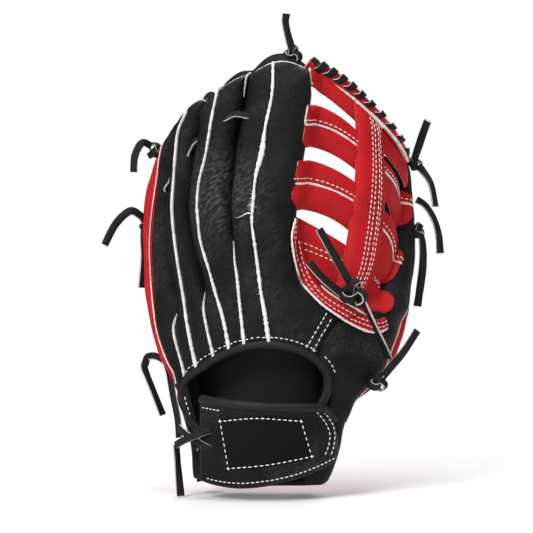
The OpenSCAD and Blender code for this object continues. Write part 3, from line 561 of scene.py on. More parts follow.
def sheet(name, outer, inner, materials, edge=None, opened=None, rim=0, sides=(0, 0)):
    """A closed sheet between two grids of points, without the cells that opened(i, j) names."""
    m, n = outer.shape[:2]
    on = np.ones((m + 1, n + 1), bool)
    on[m - 1:, :] = on[:, n - 1:] = False
    if opened is not None:
        for i, j in itertools.product(range(m - 1), range(n - 1)):
            on[i, j] = not opened(i, j)

    def o(i, j):
        return i * n + j

    def p(i, j):
        return m * n + i * n + j

    faces, kinds = [], []
    for i, j in itertools.product(range(m - 1), range(n - 1)):
        if not on[i, j]:
            continue
        faces += [(o(i, j), o(i, j + 1), o(i + 1, j + 1), o(i + 1, j)),
                  (p(i, j), p(i + 1, j), p(i + 1, j + 1), p(i, j + 1))]
        kinds += list(sides)
        for wall, open_side in (
            ((o(i, j + 1), o(i, j), p(i, j), p(i, j + 1)), not (i > 0 and on[i - 1, j])),
            ((o(i + 1, j), o(i + 1, j + 1), p(i + 1, j + 1), p(i + 1, j)), not on[i + 1, j]),
            ((o(i, j), o(i + 1, j), p(i + 1, j), p(i, j)), not (j > 0 and on[i, j - 1])),
            ((o(i + 1, j + 1), o(i, j + 1), p(i, j + 1), p(i + 1, j + 1)), not on[i, j + 1]),
        ):
            if open_side:
                faces.append(wall)
                kinds.append(rim)
    points = np.concatenate([outer.reshape(-1, 3), inner.reshape(-1, 3)])
    used = np.zeros(len(points), bool)
    used[np.unique(np.concatenate([np.array(f) for f in faces]))] = True
    order = np.cumsum(used) - 1
    both = None if edge is None else np.concatenate([edge.ravel(), np.zeros(m * n)])[used]
    return add_mesh(name, points[used], [order[list(f)] for f in faces], materials, kinds, both)


def edge_distance(grid, sides):
    """Distance along the sheet from each point to the nearest of the named edges."""
    d = np.full(grid.shape[:2], 1e3)
    for axis, first, last in ((1, "l", "r"), (0, "b", "t")):
        step = np.linalg.norm(np.diff(grid, axis=axis), axis=2)
        run = np.cumsum(step, axis=axis)
        zero = np.zeros_like(run.take([0], axis=axis))
        run = np.concatenate([zero, run], axis=axis)
        if first in sides:
            d = np.minimum(d, run)
        if last in sides:
            d = np.minimum(d, run.take([-1], axis=axis) - run)
    return d


def hide(name, point, us, qs, thick, materials, roll=None, low=0.3, sides="lrbt", swell=None, under=None, rim=0,
         soft=0.35, seed=1, faces=(0, 0)):
    """A hide laid out by point(lift, u, q), with rounded edges, a swell and soft unevenness."""
    roll = size("hide_roll") if roll is None else roll
    u, q = np.meshgrid(us, qs)
    flat = point(np.full(u.shape, float(thick)), u, q)
    d = edge_distance(flat, sides)
    s = np.clip(d / roll, 0, 1)
    lift = thick * (low + (1 - low) * np.sqrt(1 - (1 - s) ** 2))
    calm = np.clip(d / (roll * 2), 0, 1)
    if swell is not None:
        lift = lift + swell(u, q) * calm
    lift = lift + soft * calm * (0.6 * ripple(flat, 17, seed) + 0.4 * ripple(flat, 7, seed + 3))
    base = np.zeros(u.shape) if under is None else -under(u, q) * calm
    return sheet(name, point(lift, u, q), point(base, u, q), materials, 1 - np.clip(d / (roll * 1.6), 0, 1), rim=rim,
                 sides=faces)


def frames(path, out):
    """Tangents, sideways and outward directions along a path."""
    p = np.asarray(path, float)
    t = np.gradient(p, axis=0)
    t /= np.linalg.norm(t, axis=1, keepdims=True)
    o = np.broadcast_to(np.asarray(out, float), p.shape)
    s = np.cross(t, o)
    s /= np.linalg.norm(s, axis=1, keepdims=True)
    return p, t, s, np.cross(s, t)


def sweep(name, path, out, section, materials, section_kind=None, scale=None, end_kind=0, shift=None):
    """Sweeps a section of (sideways, outward) points in mm along a path, and closes both ends."""
    p, _, s, b = frames(path, out)
    c = np.asarray(section, float)
    k = len(c)
    scale = np.ones((len(p), 2)) if scale is None else np.asarray(scale, float)
    rings = (p[:, None] + s[:, None] * (c[None, :, 0] * scale[:, :1])[..., None]
             + b[:, None] * (c[None, :, 1] * scale[:, 1:])[..., None])
    if shift is not None:
        rings = rings + shift(rings)
    n = len(p)
    faces, kinds = [], []
    for i in range(n - 1):
        for j in range(k):
            after = (j + 1) % k
            faces.append((i * k + j, i * k + after, (i + 1) * k + after, (i + 1) * k + j))
            kinds.append(0 if section_kind is None else section_kind[j])
    faces += [tuple(range(k))[::-1], tuple((n - 1) * k + j for j in range(k))]
    kinds += [end_kind, end_kind]
    return add_mesh(name, rings.reshape(-1, 3), faces, materials, kinds)


def ring(r, n=14, flat=1.0):
    return [(r * math.cos(2 * math.pi * k / n), r * flat * math.sin(2 * math.pi * k / n)) for k in range(n)]


def rolled(name, path, out, section, w, shift=None):
    """A rolled strip of soft hide, thicker and thinner along its path by the share w."""
    return sweep(name, path, out, section, finishes("binding"), scale=np.stack([w, w], axis=1), shift=shift)


def lace_section(width, thick):
    w, h, c = width / 2, thick / 2, 0.28
    points = [(w, -h + c), (w, h - c), (w - c, h), (0, h * 1.12), (c - w, h), (-w, h - c), (-w, c - h), (c - w, -h),
              (0, -h * 1.12), (w - c, -h)]
    return points, [1, 0, 0, 0, 0, 1, 0, 0, 0, 0]


def lace(name, path, out, width=None, thick=None, twist=None, seed=1):
    """A flat lace along a path, with pale cut edges."""
    width = size("lace_width") if width is None else width
    thick = size("lace_thick") if thick is None else thick
    section, kinds = lace_section(width, thick)
    p, _, s, b = frames(path, out)
    if twist is not None:
        a = np.radians(np.asarray(twist, float))[:, None]
        b = b * np.cos(a) + s * np.sin(a)
    wave = np.stack([1 + 0.05 * ripple(p, 6, seed), 1 + 0.06 * ripple(p, 5, seed + 1)], axis=1)
    return sweep(name, p, b, section, finishes("lace", "lace_edge"), kinds, wave, 1)


def joined(name, objects):
    """One mesh object from several, under a new name."""
    points, faces, kinds, edges, n = [], [], [], [], 0
    materials = list(objects[0].data.materials)
    for o in objects:
        p, f = SURFACES.pop(o.name)
        points.append(p / MM)
        faces += [[k + n for k in face] for face in f]
        kinds += [q.material_index for q in o.data.polygons]
        layer = o.data.attributes.get("edge")
        edges.append(np.array([d.value for d in layer.data]) if layer else np.zeros(len(p)))
        n += len(p)
        mesh = o.data
        bpy.data.objects.remove(o)
        bpy.data.meshes.remove(mesh)
    return add_mesh(name, np.concatenate(points), faces, materials, kinds, np.concatenate(edges), turned=True)


def swing(o):
    """Bakes a piece's place into its mesh; it does not bend with the crease."""
    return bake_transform(o)


def place(o, body, slot, *nodes):
    """Puts a piece on its body, or bakes its place into its mesh where it lies across the crease, and hides the solids
    it stands for; its finish (slot) is not used.
    """
    if body == "crease":
        swing(o)
    else:
        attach(o, body)
    if nodes:
        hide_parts(*nodes)
    return o


# ---------------------------------------------------------------- materials

MATERIALS = {}


def finishes(*keys):
    return [MATERIALS[k] for k in keys]


def new_material(key, name):
    m = bpy.data.materials.new(name)
    m.use_nodes = True
    MATERIALS[key] = m
    return m, m.node_tree, m.node_tree.nodes["Principled BSDF"]


def node(tree, kind, x, y, **values):
    n = tree.nodes.new(kind)
    n.location = (x, y)
    for k, v in values.items():
        if k in n.inputs:
            n.inputs[k].default_value = v
        else:
            setattr(n, k, v)
    return n


def noise(tree, coordinates, x, y, scale, detail=3.0, rough=0.55):
    n = node(tree, "ShaderNodeTexNoise", x, y, Scale=scale, Detail=detail, Roughness=rough)
    tree.links.new(coordinates, n.inputs["Vector"])
    return n.outputs["Fac"]


def ramp(tree, value, x, y, stops):
    n = node(tree, "ShaderNodeValToRGB", x, y)
    while len(n.color_ramp.elements) < len(stops):
        n.color_ramp.elements.new(0.5)
    for e, (where, c) in zip(n.color_ramp.elements, stops):
        e.position = where
        e.color = (*c, 1.0)
    tree.links.new(value, n.inputs["Fac"])
    return n.outputs["Color"]


def ranged(tree, value, x, y, low, high, from_low=0.3, from_high=0.7):
    n = node(tree, "ShaderNodeMapRange", x, y)
    for k, v in zip(("From Min", "From Max", "To Min", "To Max"), (from_low, from_high, low, high)):
        n.inputs[k].default_value = v
    tree.links.new(value, n.inputs["Value"])
    return n.outputs["Result"]


def bump(tree, height, x, y, strength, distance, before=None):
    n = node(tree, "ShaderNodeBump", x, y, Strength=strength, Distance=distance)
    tree.links.new(height, n.inputs["Height"])
    if before is not None:
        tree.links.new(before, n.inputs["Normal"])
    return n.outputs["Normal"]


def calculated(tree, operation, first, second, x, y):
    n = node(tree, "ShaderNodeMath", x, y, operation=operation)
    tree.links.new(first, n.inputs[0])
    tree.links.new(second, n.inputs[1])
    return n.outputs[0]


def tinted(tree, factor, before, c, x, y):
    """Puts a colour over what was before it, as far as the factor says."""
    n = node(tree, "ShaderNodeMix", x, y, data_type="RGBA")
    n.inputs["B"].default_value = (*c, 1)
    tree.links.new(factor, n.inputs["Factor"])
    tree.links.new(before, n.inputs["A"])
    return n.outputs["Result"]


def either(tree, factor, first, second, output, x):
    """Shows one shader or the other at an output, as the factor says."""
    n = node(tree, "ShaderNodeMixShader", x, 0)
    for k, socket in enumerate((factor, first, second)):
        tree.links.new(socket, n.inputs[k])
    tree.links.new(n.outputs[0], tree.nodes[output].inputs["Surface"])


def shade(c, k):
    return tuple(min(1.0, v * k) for v in c)


def leather(key, name, base, grain=620.0, rough=(0.44, 0.60), depth=0.5, dark=0.62, light=1.35, worn=1.5, specular=0.2,
            creased_with_sheen=0.0):
    """Hide with a pebbled grain, slanting wrinkles in places whose crests get a painted sheen, uneven dye and rubbed
    edges.
    """
    _, t, shader = new_material(key, name)
    where = node(t, "ShaderNodeTexCoord", -1700, 0).outputs["Object"]
    cloud = noise(t, where, -1250, 300, 38.0, 4.0, 0.6)
    dye = ramp(t, cloud, -1000, 300, [(0.25, shade(base, dark)), (0.5, base), (0.78, shade(base, light))])
    rubbed = node(t, "ShaderNodeAttribute", -1250, 520, attribute_name="edge").outputs["Fac"]
    patches = ranged(t, noise(t, where, -1250, 700, 420.0, 2.0), -1100, 700, 0.0, 0.55)
    patchy = calculated(t, "MULTIPLY", rubbed, patches, -1000, 520)
    tone = tinted(t, patchy, dye, shade(base, worn), -750, 400)
    t.links.new(ranged(t, noise(t, where, -1250, 0, 95.0, 3.0), -1000, 0, *rough), shader.inputs["Roughness"])
    cells = node(t, "ShaderNodeTexVoronoi", -1250, -300, feature="DISTANCE_TO_EDGE", Scale=grain, Randomness=1.0)
    warp = node(t, "ShaderNodeTexNoise", -1500, -300, Scale=grain * 0.7, Detail=2.0)
    shift = node(t, "ShaderNodeVectorMath", -1380, -420, operation="MULTIPLY_ADD")
    shift.inputs[1].default_value = (0.0009,) * 3
    t.links.new(where, warp.inputs["Vector"])
    t.links.new(warp.outputs["Color"], shift.inputs[0])
    t.links.new(where, shift.inputs[2])
    t.links.new(shift.outputs[0], cells.inputs["Vector"])
    pebble = ranged(t, cells.outputs["Distance"], -1000, -300, 0.0, 1.0, 0.0, 0.22)
    folds = noise(t, where, -1250, -560, 210.0, 5.0, 0.65)
    normal = bump(t, folds, -700, -500, depth * 0.9, 0.0016)
    # Wrinkles in a spot round the middle finger's crown and in patches elsewhere; the same mask lays a painted sheen on
    # their crests
    if creased_with_sheen:
        turn = node(t, "ShaderNodeMapping", -1500, -800, vector_type="TEXTURE")
        turn.inputs["Rotation"].default_value = (0.0, math.radians(-34), 0.0)
        turn.inputs["Scale"].default_value = (2.1, 1.25, 0.85)
        t.links.new(where, turn.inputs["Vector"])
        lines = noise(t, turn.outputs[0], -1250, -800, 430.0, 2.5, 0.55)
        apart = node(t, "ShaderNodeVectorMath", -1500, -1050, operation="DISTANCE")
        apart.inputs[1].default_value = (-0.032, 0.006, 0.206)
        t.links.new(where, apart.inputs[0])
        spot = ranged(t, apart.outputs["Value"], -1250, -1050, 1.0, 0.0, 0.010, 0.042)
        some = ranged(t, noise(t, where, -1500, -1250, 26.0, 2.0), -1250, -1250, 0.0, 0.34, 0.48, 0.68)
        wrinkle_and_sheen_mask = calculated(t, "MAXIMUM", spot, some, -1000, -1150)
        normal = bump(t, calculated(t, "MULTIPLY", lines, wrinkle_and_sheen_mask, -900, -850), -650, -750, creased_with_sheen, 0.0022, normal)
        crest = calculated(t, "MULTIPLY", ranged(t, lines, -900, -1000, 0.12, 1.0, 0.42, 0.64), wrinkle_and_sheen_mask, -750, -1000)
        # Painted sheen: the wrinkles' crests are lightened towards eleven times the base colour
        tone = tinted(t, crest, tone, shade(base, 11.0), -500, 400)
    t.links.new(tone, shader.inputs["Base Color"])
    t.links.new(bump(t, pebble, -450, -350, depth, 0.00028, normal), shader.inputs["Normal"])
    shader.inputs["Specular IOR Level"].default_value = specular


def fibrous(key, name, base, scale=900.0, rough=0.9, depth=0.8, dark=0.72):
    """Raw split hide, felt or thread: matt and fibrous."""
    _, t, shader = new_material(key, name)
    where = node(t, "ShaderNodeTexCoord", -1100, 0).outputs["Object"]
    strands = noise(t, where, -850, 200, scale, 5.0, 0.7)
    t.links.new(ramp(t, strands, -600, 250, [(0.28, shade(base, dark)), (0.55, base), (0.8, shade(base, 1.08))]),
                shader.inputs["Base Color"])
    t.links.new(bump(t, strands, -400, -200, depth, 0.0005), shader.inputs["Normal"])
    shader.inputs["Roughness"].default_value = rough
    shader.inputs["Specular IOR Level"].default_value = 0.25


def woven(key, name, base):
    """Close woven cloth of the strap's patch."""
    _, t, shader = new_material(key, name)
    where = node(t, "ShaderNodeTexCoord", -1300, 0).outputs["Object"]
    threads = []
    for k, axis in enumerate(("X", "Z")):
        wave = node(t, "ShaderNodeTexWave", -1000, 200 - 300 * k, wave_type="BANDS", bands_direction=axis, Scale=260.0,
                    Distortion=0.6)
        wave.inputs["Detail Scale"].default_value = 3.0
        t.links.new(where, wave.inputs["Vector"])
        threads.append(wave.outputs["Fac"])
    cross = calculated(t, "MULTIPLY", *threads, -750, 100)
    t.links.new(ramp(t, cross, -500, 200, [(0.05, shade(base, 0.6)), (0.6, shade(base, 1.3))]),
                shader.inputs["Base Color"])
    t.links.new(bump(t, cross, -400, -200, 0.6, 0.0003), shader.inputs["Normal"])
    shader.inputs["Roughness"].default_value = 0.7
    shader.inputs["Specular IOR Level"].default_value = 0.12


def make_materials():
    black, red, raw = colour("black_hide"), colour("red_hide"), colour("raw_hide")
    leather("black", "black_back_hide", black, 560.0, (0.40, 0.56), 0.8, 0.6, 1.9, 3.0, 0.12, 0.9)
    leather("red", "red_palm_hide", red, 640.0, (0.38, 0.54), 0.45, 0.72, 1.12, 1.12, 0.16)
    leather("binding", "soft_black_binding", shade(black, 1.25), 900.0, (0.42, 0.55), 0.3, 0.8, 1.25, 1.6, 0.24)
    leather("lining", "lining_hide", colour("lining"), 700.0, (0.55, 0.7), 0.4, 0.75, 1.3, 1.4, 0.25)
    leather("lace", "lace_broad_side", colour("lace"), 800.0, (0.45, 0.62), 0.5, 0.7, 1.5, 2.5)
    fibrous("lace_edge", "lace_cut_edge", colour("lace_edge"), 1400.0, 0.9, 0.6, 0.55)
    fibrous("raw", "raw_white_hide", raw, 950.0, 0.92, 0.9, 0.74)
    fibrous("raw_red", "raw_red_edge", tuple(mix(np.array(raw), np.array(red), 0.35)), 950.0, 0.9, 0.8, 0.7)
    fibrous("thread", "white_thread", colour("thread"), 2600.0, 0.7, 0.5, 0.82)
    fibrous("felt", "wool_felt", colour("felt"), 700.0, 0.95, 0.9, 0.7)
    woven("patch", "black_patch_cloth", shade(black, 0.55))


# ---------------------------------------------------------------- sewing rows

ROWS = []


def sew(group, surface, path, pitch=None, long=None):
    """Keeps a row of stitches that is to be sewn on a finished surface, along points in mm."""
    ROWS.append((group, surface, np.asarray(path, float), pitch, long))


def resampled(path, step):
    p = np.asarray(path, float)
    run = np.concatenate([[0], np.cumsum(np.linalg.norm(np.diff(p, axis=0), axis=1))])
    s = np.linspace(0, run[-1], max(2, int(run[-1] / step) + 1))
    return np.stack([np.interp(s, run, p[:, k]) for k in range(3)], axis=1)


PRESS_DEPTH, PRESS_REACH = 0.45, 1.3


def press(surface, path):
    """Draws a hide in along a sewn row."""
    o = bpy.data.objects[surface]
    p, _ = SURFACES[surface]
    line = resampled(path, 1.0) * MM
    lo, hi = line.min(0) - 0.004, line.max(0) + 0.004
    near = np.nonzero(((p > lo) & (p < hi)).all(1))[0]
    if not len(near):
        return
    d = np.sqrt(((p[near, None] - line[None]) ** 2).sum(2)).min(1) / MM
    normals = np.empty(len(p) * 3, np.float32)
    o.data.vertices.foreach_get("normal", normals)
    p[near] -= normals.reshape(-1, 3)[near] * (PRESS_DEPTH * bell(d, 0, PRESS_REACH) * (d < 3))[:, None] * MM
    o.data.vertices.foreach_set("co", p.astype(np.float32).ravel())
    o.data.update()


def point_tree(name, numbers, finish, result):
    """A node tree that takes points, numbers and a material, and gives a mesh."""
    tree = bpy.data.node_groups.new(name, "GeometryNodeTree")
    face = tree.interface
    face.new_socket("Points", in_out="INPUT", socket_type="NodeSocketGeometry")
    for number, value in numbers:
        face.new_socket(number, in_out="INPUT", socket_type="NodeSocketFloat").default_value = value
    face.new_socket(finish, in_out="INPUT", socket_type="NodeSocketMaterial")
    face.new_socket(result, in_out="OUTPUT", socket_type="NodeSocketGeometry")
    return tree, tree.nodes.new("NodeGroupInput")


def shaped_node(tree, kind, **values):
    """A node with its inputs set; an input's name has _ for each blank."""
    n = tree.nodes.new(kind)
    for k, v in values.items():
        n.inputs[k.replace("_", " ")].default_value = v
    return n


def copy_to_points(tree, enter, finish, shape, turn, stretch, reads, smooth):
    """Copies a shape to each point, turned and stretched by what the point says, as one real mesh."""
    new, link = tree.nodes.new, tree.links.new
    for name, kind, target in reads:
        read = shaped_node(tree, "GeometryNodeInputNamedAttribute", Name=name)
        read.data_type = kind
        link(read.outputs["Attribute"], target)
    copies = new("GeometryNodeInstanceOnPoints")
    link(enter.outputs["Points"], copies.inputs["Points"])
    link(shape, copies.inputs["Instance"])
    link(turn.outputs["Rotation"], copies.inputs["Rotation"])
    link(stretch.outputs[0], copies.inputs["Scale"])
    last = copies.outputs["Instances"]
    smoothing = ["GeometryNodeSetShadeSmooth"] if smooth else []
    for kind in ["GeometryNodeRealizeInstances", *smoothing, "GeometryNodeSetMaterial"]:
        step = new(kind)
        link(last, step.inputs["Geometry"])
        last = step.outputs["Geometry"]
    link(enter.outputs[finish], step.inputs["Material"])
    link(last, new("NodeGroupOutput").inputs[0])
    return tree


def stitch_tree():
    """Lays one thread on each point, along its own direction, on its own surface."""
    numbers = ("Stitch length", 0.003), ("Thread width", 0.00085), ("Thread height", 0.0007)
    tree, enter = point_tree("sewn_thread", numbers, "Thread", "Stitches")
    new, link = tree.nodes.new, tree.links.new
    bead = shaped_node(tree, "GeometryNodeMeshUVSphere", Segments=8, Rings=6, Radius=0.5)
    sizes = new("ShaderNodeCombineXYZ")
    for k in range(3):
        link(enter.outputs[k + 1], sizes.inputs[k])
    shaped = new("GeometryNodeTransform")
    link(bead.outputs["Mesh"], shaped.inputs["Geometry"])
    link(sizes.outputs[0], shaped.inputs["Scale"])
    lay = new("FunctionNodeAxesToRotation")
    lay.primary_axis, lay.secondary_axis = "X", "Z"
    stretch = shaped_node(tree, "ShaderNodeCombineXYZ", Y=1.0, Z=1.0)
    reads = (("along", "FLOAT_VECTOR", lay.inputs["Primary Axis"]),
             ("out", "FLOAT_VECTOR", lay.inputs["Secondary Axis"]), ("reach", "FLOAT", stretch.inputs[0]))
    return copy_to_points(tree, enter, "Thread", shaped.outputs["Geometry"], lay, stretch, reads, True)


def fibre_tree():
    """Stands one thin fibre on each point, along its own direction."""
    tree, enter = point_tree("frayed_fibres", [("Fibre width", 0.0003)], "Raw hide", "Fibres")
    cone = shaped_node(tree, "GeometryNodeMeshCone", Vertices=4, Radius_Bottom=0.5, Radius_Top=0.08, Depth=1.0)
    lay = tree.nodes.new("FunctionNodeAlignRotationToVector")
    lay.axis = "Z"
    stretch = tree.nodes.new("ShaderNodeCombineXYZ")
    for k in range(2):
        tree.links.new(enter.outputs["Fibre width"], stretch.inputs[k])
    reads = (("along", "FLOAT_VECTOR", lay.inputs["Vector"]), ("reach", "FLOAT", stretch.inputs[2]))
    return copy_to_points(tree, enter, "Raw hide", cone.outputs["Mesh"], lay, stretch, reads, False)


def grown(name, tree, points, vectors, numbers, inputs):
    """A plain mesh from a node tree that reads points with directions and sizes."""
    seeds = bpy.data.meshes.new(name + "_points")
    seeds.from_pydata([tuple(p) for p in points], [], [])
    for k, v in vectors.items():
        seeds.attributes.new(k, "FLOAT_VECTOR", "POINT").data.foreach_set("vector", np.asarray(v, np.float32).ravel())
    for k, v in numbers.items():
        seeds.attributes.new(k, "FLOAT", "POINT").data.foreach_set("value", np.asarray(v, np.float32))
    o = added(name, seeds)
    m = o.modifiers.new("grow", "NODES")
    m.node_group = tree
    sockets = {s.name: s.identifier for s in tree.interface.items_tree if s.in_out == "INPUT"}
    for k, v in inputs.items():
        m[sockets[k]] = v
    bpy.context.view_layer.update()
    mesh = bpy.data.meshes.new_from_object(o.evaluated_get(bpy.context.evaluated_depsgraph_get()))
    o.modifiers.remove(m)
    o.data = mesh
    bpy.data.meshes.remove(seeds)
    for layer in ("along", "out", "reach"):
        found = mesh.attributes.get(layer)
        if found:
            mesh.attributes.remove(found)
    mesh.name = name
    return o


# ---------------------------------------------------------------- operators


LIGHTS = (
    ("key_light", (-0.70, -1.05, 1.05), 18.5, 0.6),
    ("fill_light", (1.0, -1.2, 0.35), 3.6, 1.1),
    ("top_light", (0.1, -0.1, 1.5), 11.0, 0.9),
    ("back_light", (0.3, 1.3, 0.8), 12.0, 1.1),
)
FLOOR_DROP, FLOOR_HALF = 0.0006, 3.0


def look_at(o, way):
    o.rotation_euler = way.to_track_quat("-Z", "Y").to_euler()


def add_camera(scene):
    distance, lift = CAMERA_FAR * MM, math.radians(2.0)
    data = bpy.data.cameras.new("view_of_the_back")
    data.sensor_width = 36.0
    data.lens = data.sensor_width * distance / (PICTURE_WIDTH * MM)
    camera = added("view_of_the_back", data)
    back = Vector((0, -math.cos(lift), math.sin(lift)))
    camera.location = Vector([c * MM for c in AIM]) + back * distance
    look_at(camera, -back)
    scene.camera = camera


def add_lights():
    for name, where, power, wide in LIGHTS:
        lamp = bpy.data.lights.new(name, "AREA")
        lamp.energy, lamp.size = power, wide
        o = added(name, lamp)
        o.location = where
        look_at(o, Vector((0, 0.03, 0.15)) - Vector(where))


def add_world(scene):
    """A soft light from all round, which the camera sees as white."""
    scene.world = bpy.data.worlds.new("studio")
    scene.world.use_nodes = True
    t = scene.world.node_tree
    soft = t.nodes["Background"]
    soft.inputs["Color"].default_value = (1, 1, 1, 1)
    soft.inputs["Strength"].default_value = 0.24
    seen = node(t, "ShaderNodeBackground", 0, -200, Color=(1, 1, 1, 1), Strength=1.0)
    path = node(t, "ShaderNodeLightPath", -400, 200)
    either(t, path.outputs["Is Camera Ray"], soft.outputs[0], seen.outputs[0], "World Output", 250)


def add_floor():
    """A pale floor that fades to white away from the glove."""
    m, t, shader = new_material("floor", "pale_floor")
    shader.inputs["Base Color"].default_value = (*colour("floor"), 1)
    shader.inputs["Roughness"].default_value = 0.8
    where = node(t, "ShaderNodeTexCoord", -900, 0).outputs["Object"]
    span = node(t, "ShaderNodeVectorMath", -700, 0, operation="LENGTH")
    t.links.new(where, span.inputs[0])
    far = ranged(t, span.outputs["Value"], -500, 0, 0.0, 1.0, 0.16, 0.42)
    path = node(t, "ShaderNodeLightPath", -700, 300)
    both = calculated(t, "MULTIPLY", path.outputs["Is Camera Ray"], far, -300, 150)
    white = node(t, "ShaderNodeEmission", -100, -250)
    either(t, both, shader.outputs[0], white.outputs[0], "Material Output", 300)
    mesh = bpy.data.meshes.new("floor")
    low = CAD_BOX[0][2] - FLOOR_DROP
    corners = [(x * FLOOR_HALF, y * FLOOR_HALF, low) for x, y in ((-1, -1), (1, -1), (1, 1), (-1, 1))]
    mesh.from_pydata(corners, [], [(0, 1, 2, 3)])
    mesh.materials.append(m)
    floor = added("floor", mesh)


class GLOVE_OT_stage(bpy.types.Operator):
    """Sets the camera before the glove's back, soft lights and a pale floor"""

    bl_idname = "glove.stage"
    bl_label = "Stage"

    def execute(self, context):
        add_camera(context.scene)
        add_lights()
        add_world(context.scene)
        add_floor()
        context.scene.view_settings.view_transform = "Standard"
        return {"FINISHED"}


class GLOVE_OT_tails(bpy.types.Operator):
    """Makes the loose tails of lace"""

    bl_idname = "glove.tails"
    bl_label = "Lace tails"

    def execute(self, context):
        make_materials()
        for k, (name, points) in enumerate(TAILS.items()):
            path = along(points, 48)
            turn = even(len(path))
            edgewise = 58 * ease(turn / 0.3) if name == "tail_web_down" else 0
            o = lace(name.replace("tail_", "lace_end_"), path, [0.2, -1.0, 0.1], seed=k + 3,
                     twist=28 * np.sin(2.6 * turn + k) - 8 + edgewise)
            place(o, TAIL_BODY.get(name, "thumb_side"), "lace", name)
            size("lace_width") * MM
        return {"FINISHED"}


def finger_point(i, outer):
    """A finger's back on one side of its welt."""
    gap = beside_welt(WIDTHS[i]) if i else 0.012

    def point(lift, s, q):
        u = s * 0.45 if outer else mix(0.5, 1.0, s)
        for _ in range(3):
            t = mix(low_of(i, u), tip_of(i, u), q)
            k = ridge(i, t)
            u = s * (k - gap) if outer else mix(k + gap, 1.0, s)
        p = at(stall_r(i, u, t) + lift, across(i, u, t, SIDE_GAP / 2), t)
        return p + pinky_shift(u, t) if i == 0 else p
    return point


class GLOVE_OT_finger_backs(bpy.types.Operator):
    """Makes the black hides over the backs of the four fingers"""

    bl_idname = "glove.finger_backs"
    bl_label = "Finger backs"

    def execute(self, context):
        black = finishes("black", "lining")
        puff = size("puff")
        halves = [("pinky_back", 0, False)]
        for i in (1, 2, 3):
            halves += [(FINGERS[i] + "_back_outer", i, True), (FINGERS[i] + "_back_inner", i, False)]
        qs = shares(200.0, 1.9, (0, 0.3, 0.8, 1.6, 2.8, 4.2, 6.0))
        qs = np.unique(np.concatenate([qs, 1 - 0.06 * even(12) ** 2]))
        for k, (solid, i, outer) in enumerate(halves):
            us = shares(WIDTHS[i] * 0.55, 1.6, (0, 0.25, 0.6, 1.1, 1.8, 2.6, 3.6))
            o = hide("hide_" + solid, finger_point(i, outer), us, qs, BACK_T, black, roll=2.2,
                     swell=lambda u, q: puff * hump(u) ** 0.8, soft=0.6, seed=k + 11, low=0.3, faces=(0, 1))
            place(o, "crease" if solid == "index_back_inner" else "hand", "black_leather", solid)
        o = hide("hide_heel_corner", heel_corner_point, shares(45, 1.8), shares(50, 1.8), BACK_T, black, seed=31,
                 sides="lrb", faces=(0, 1))
        place(o, "hand", "black_leather", "heel_corner_back")
        return {"FINISHED"}


def heel_corner_point(lift, u, q):
    t = mix(1.0, FLAP_T + 1, q)
    top = mix(100.4, THUMB_CROWN_IN + rise(t) - 0.2, ease((t - 27) / 18))
    r = mix(top, POCKET_R + PALM_T + 0.3, 1 - arch(np.maximum(0, 2 * u - 1))) + lift
    return at(r, mix(angle_at_x(100.4, mix(26, 40, q), t), degrees(through(THUMB_OUTER, t) - 0.6), u), t)


WELT_PATHS = {}


def welt(name, path, width, high, seed, taper=None):
    """A strip of raw white hide standing in a seam, with ragged edges."""
    p = resampled(path, 0.6)
    right = [(0.5, -0.6), (0.52, 0.0), (0.44, 0.34), (0.2, 0.5)]
    section = [(x * width, y * high) for x, y in right + [(-x, y) for x, y in right[::-1]]]
    w = 1 + 0.38 * ripple(p, 1.25, seed) + 0.2 * ripple(p, 7, seed + 1)
    if taper is not None:
        w = w * taper(even(len(p)))
    WELT_PATHS[name] = (p, width * w)
    return sweep(name, p, away(p), section, finishes("raw"), scale=np.stack([w, 0.85 + 0.15 * w], axis=1),
                 shift=lambda rings: 0.13 * shake(rings, 1.3, seed + 5))


def fork_taper(s):
    return (0.12 + 0.88 * np.clip((1 - s) / 0.45, 0, 1) ** 0.8) * (1 + 0.45 * bell(s, 0, 0.2))


# Where a welt is badly frayed: share along it, fibres and their length
FRAYED = {"welt_3": [(0.475, 22, 2.6), (0.51, 12, 1.9), (0.18, 7, 2.0)], "fork_3": [(0.42, 5, 1.2)],
          "welt_2": [(0.6, 4, 0.9), (0.93, 5, 1.0)]}


def frayed():
    """Feet, directions and lengths of the fibres along the welts."""
    rng = np.random.default_rng(7)
    points, ways, reach = [], [], []
    for name, (p, w) in WELT_PATHS.items():
        if name.startswith(("tip", "long")) or name == "welt_0":
            continue
        _, t, s, b = frames(p, away(p))
        chosen = [(k, 0.55) for k in rng.integers(2, len(p) - 2, len(p) // 2)]
        for share, count, long in FRAYED.get(name, []):
            chosen += [(int(np.clip(rng.normal(share * len(p), 3.5), 2, len(p) - 3)), long) for _ in range(count)]
        for k, long in chosen:
            side = 1 if rng.random() < 0.5 else -1
            if long > 1 and name == "welt_3":
                side = 1 if rng.random() < 0.25 else -1
            way = side * s[k] + 0.5 * b[k] * rng.random() + t[k] * rng.normal(0, 0.8)
            way /= np.linalg.norm(way)
            far = long * (0.5 + 0.9 * rng.random())
            points.append((p[k] + side * s[k] * w[k] * 0.36 + b[k] * 0.7) * MM)
            ways.append(way)
            reach.append(far * MM)
    return points, ways, reach


def welt_line(i, u, t):
    return at(stall_r(i, u, t) + BACK_T + 0.1, across(i, u, t, SIDE_GAP / 2), t)


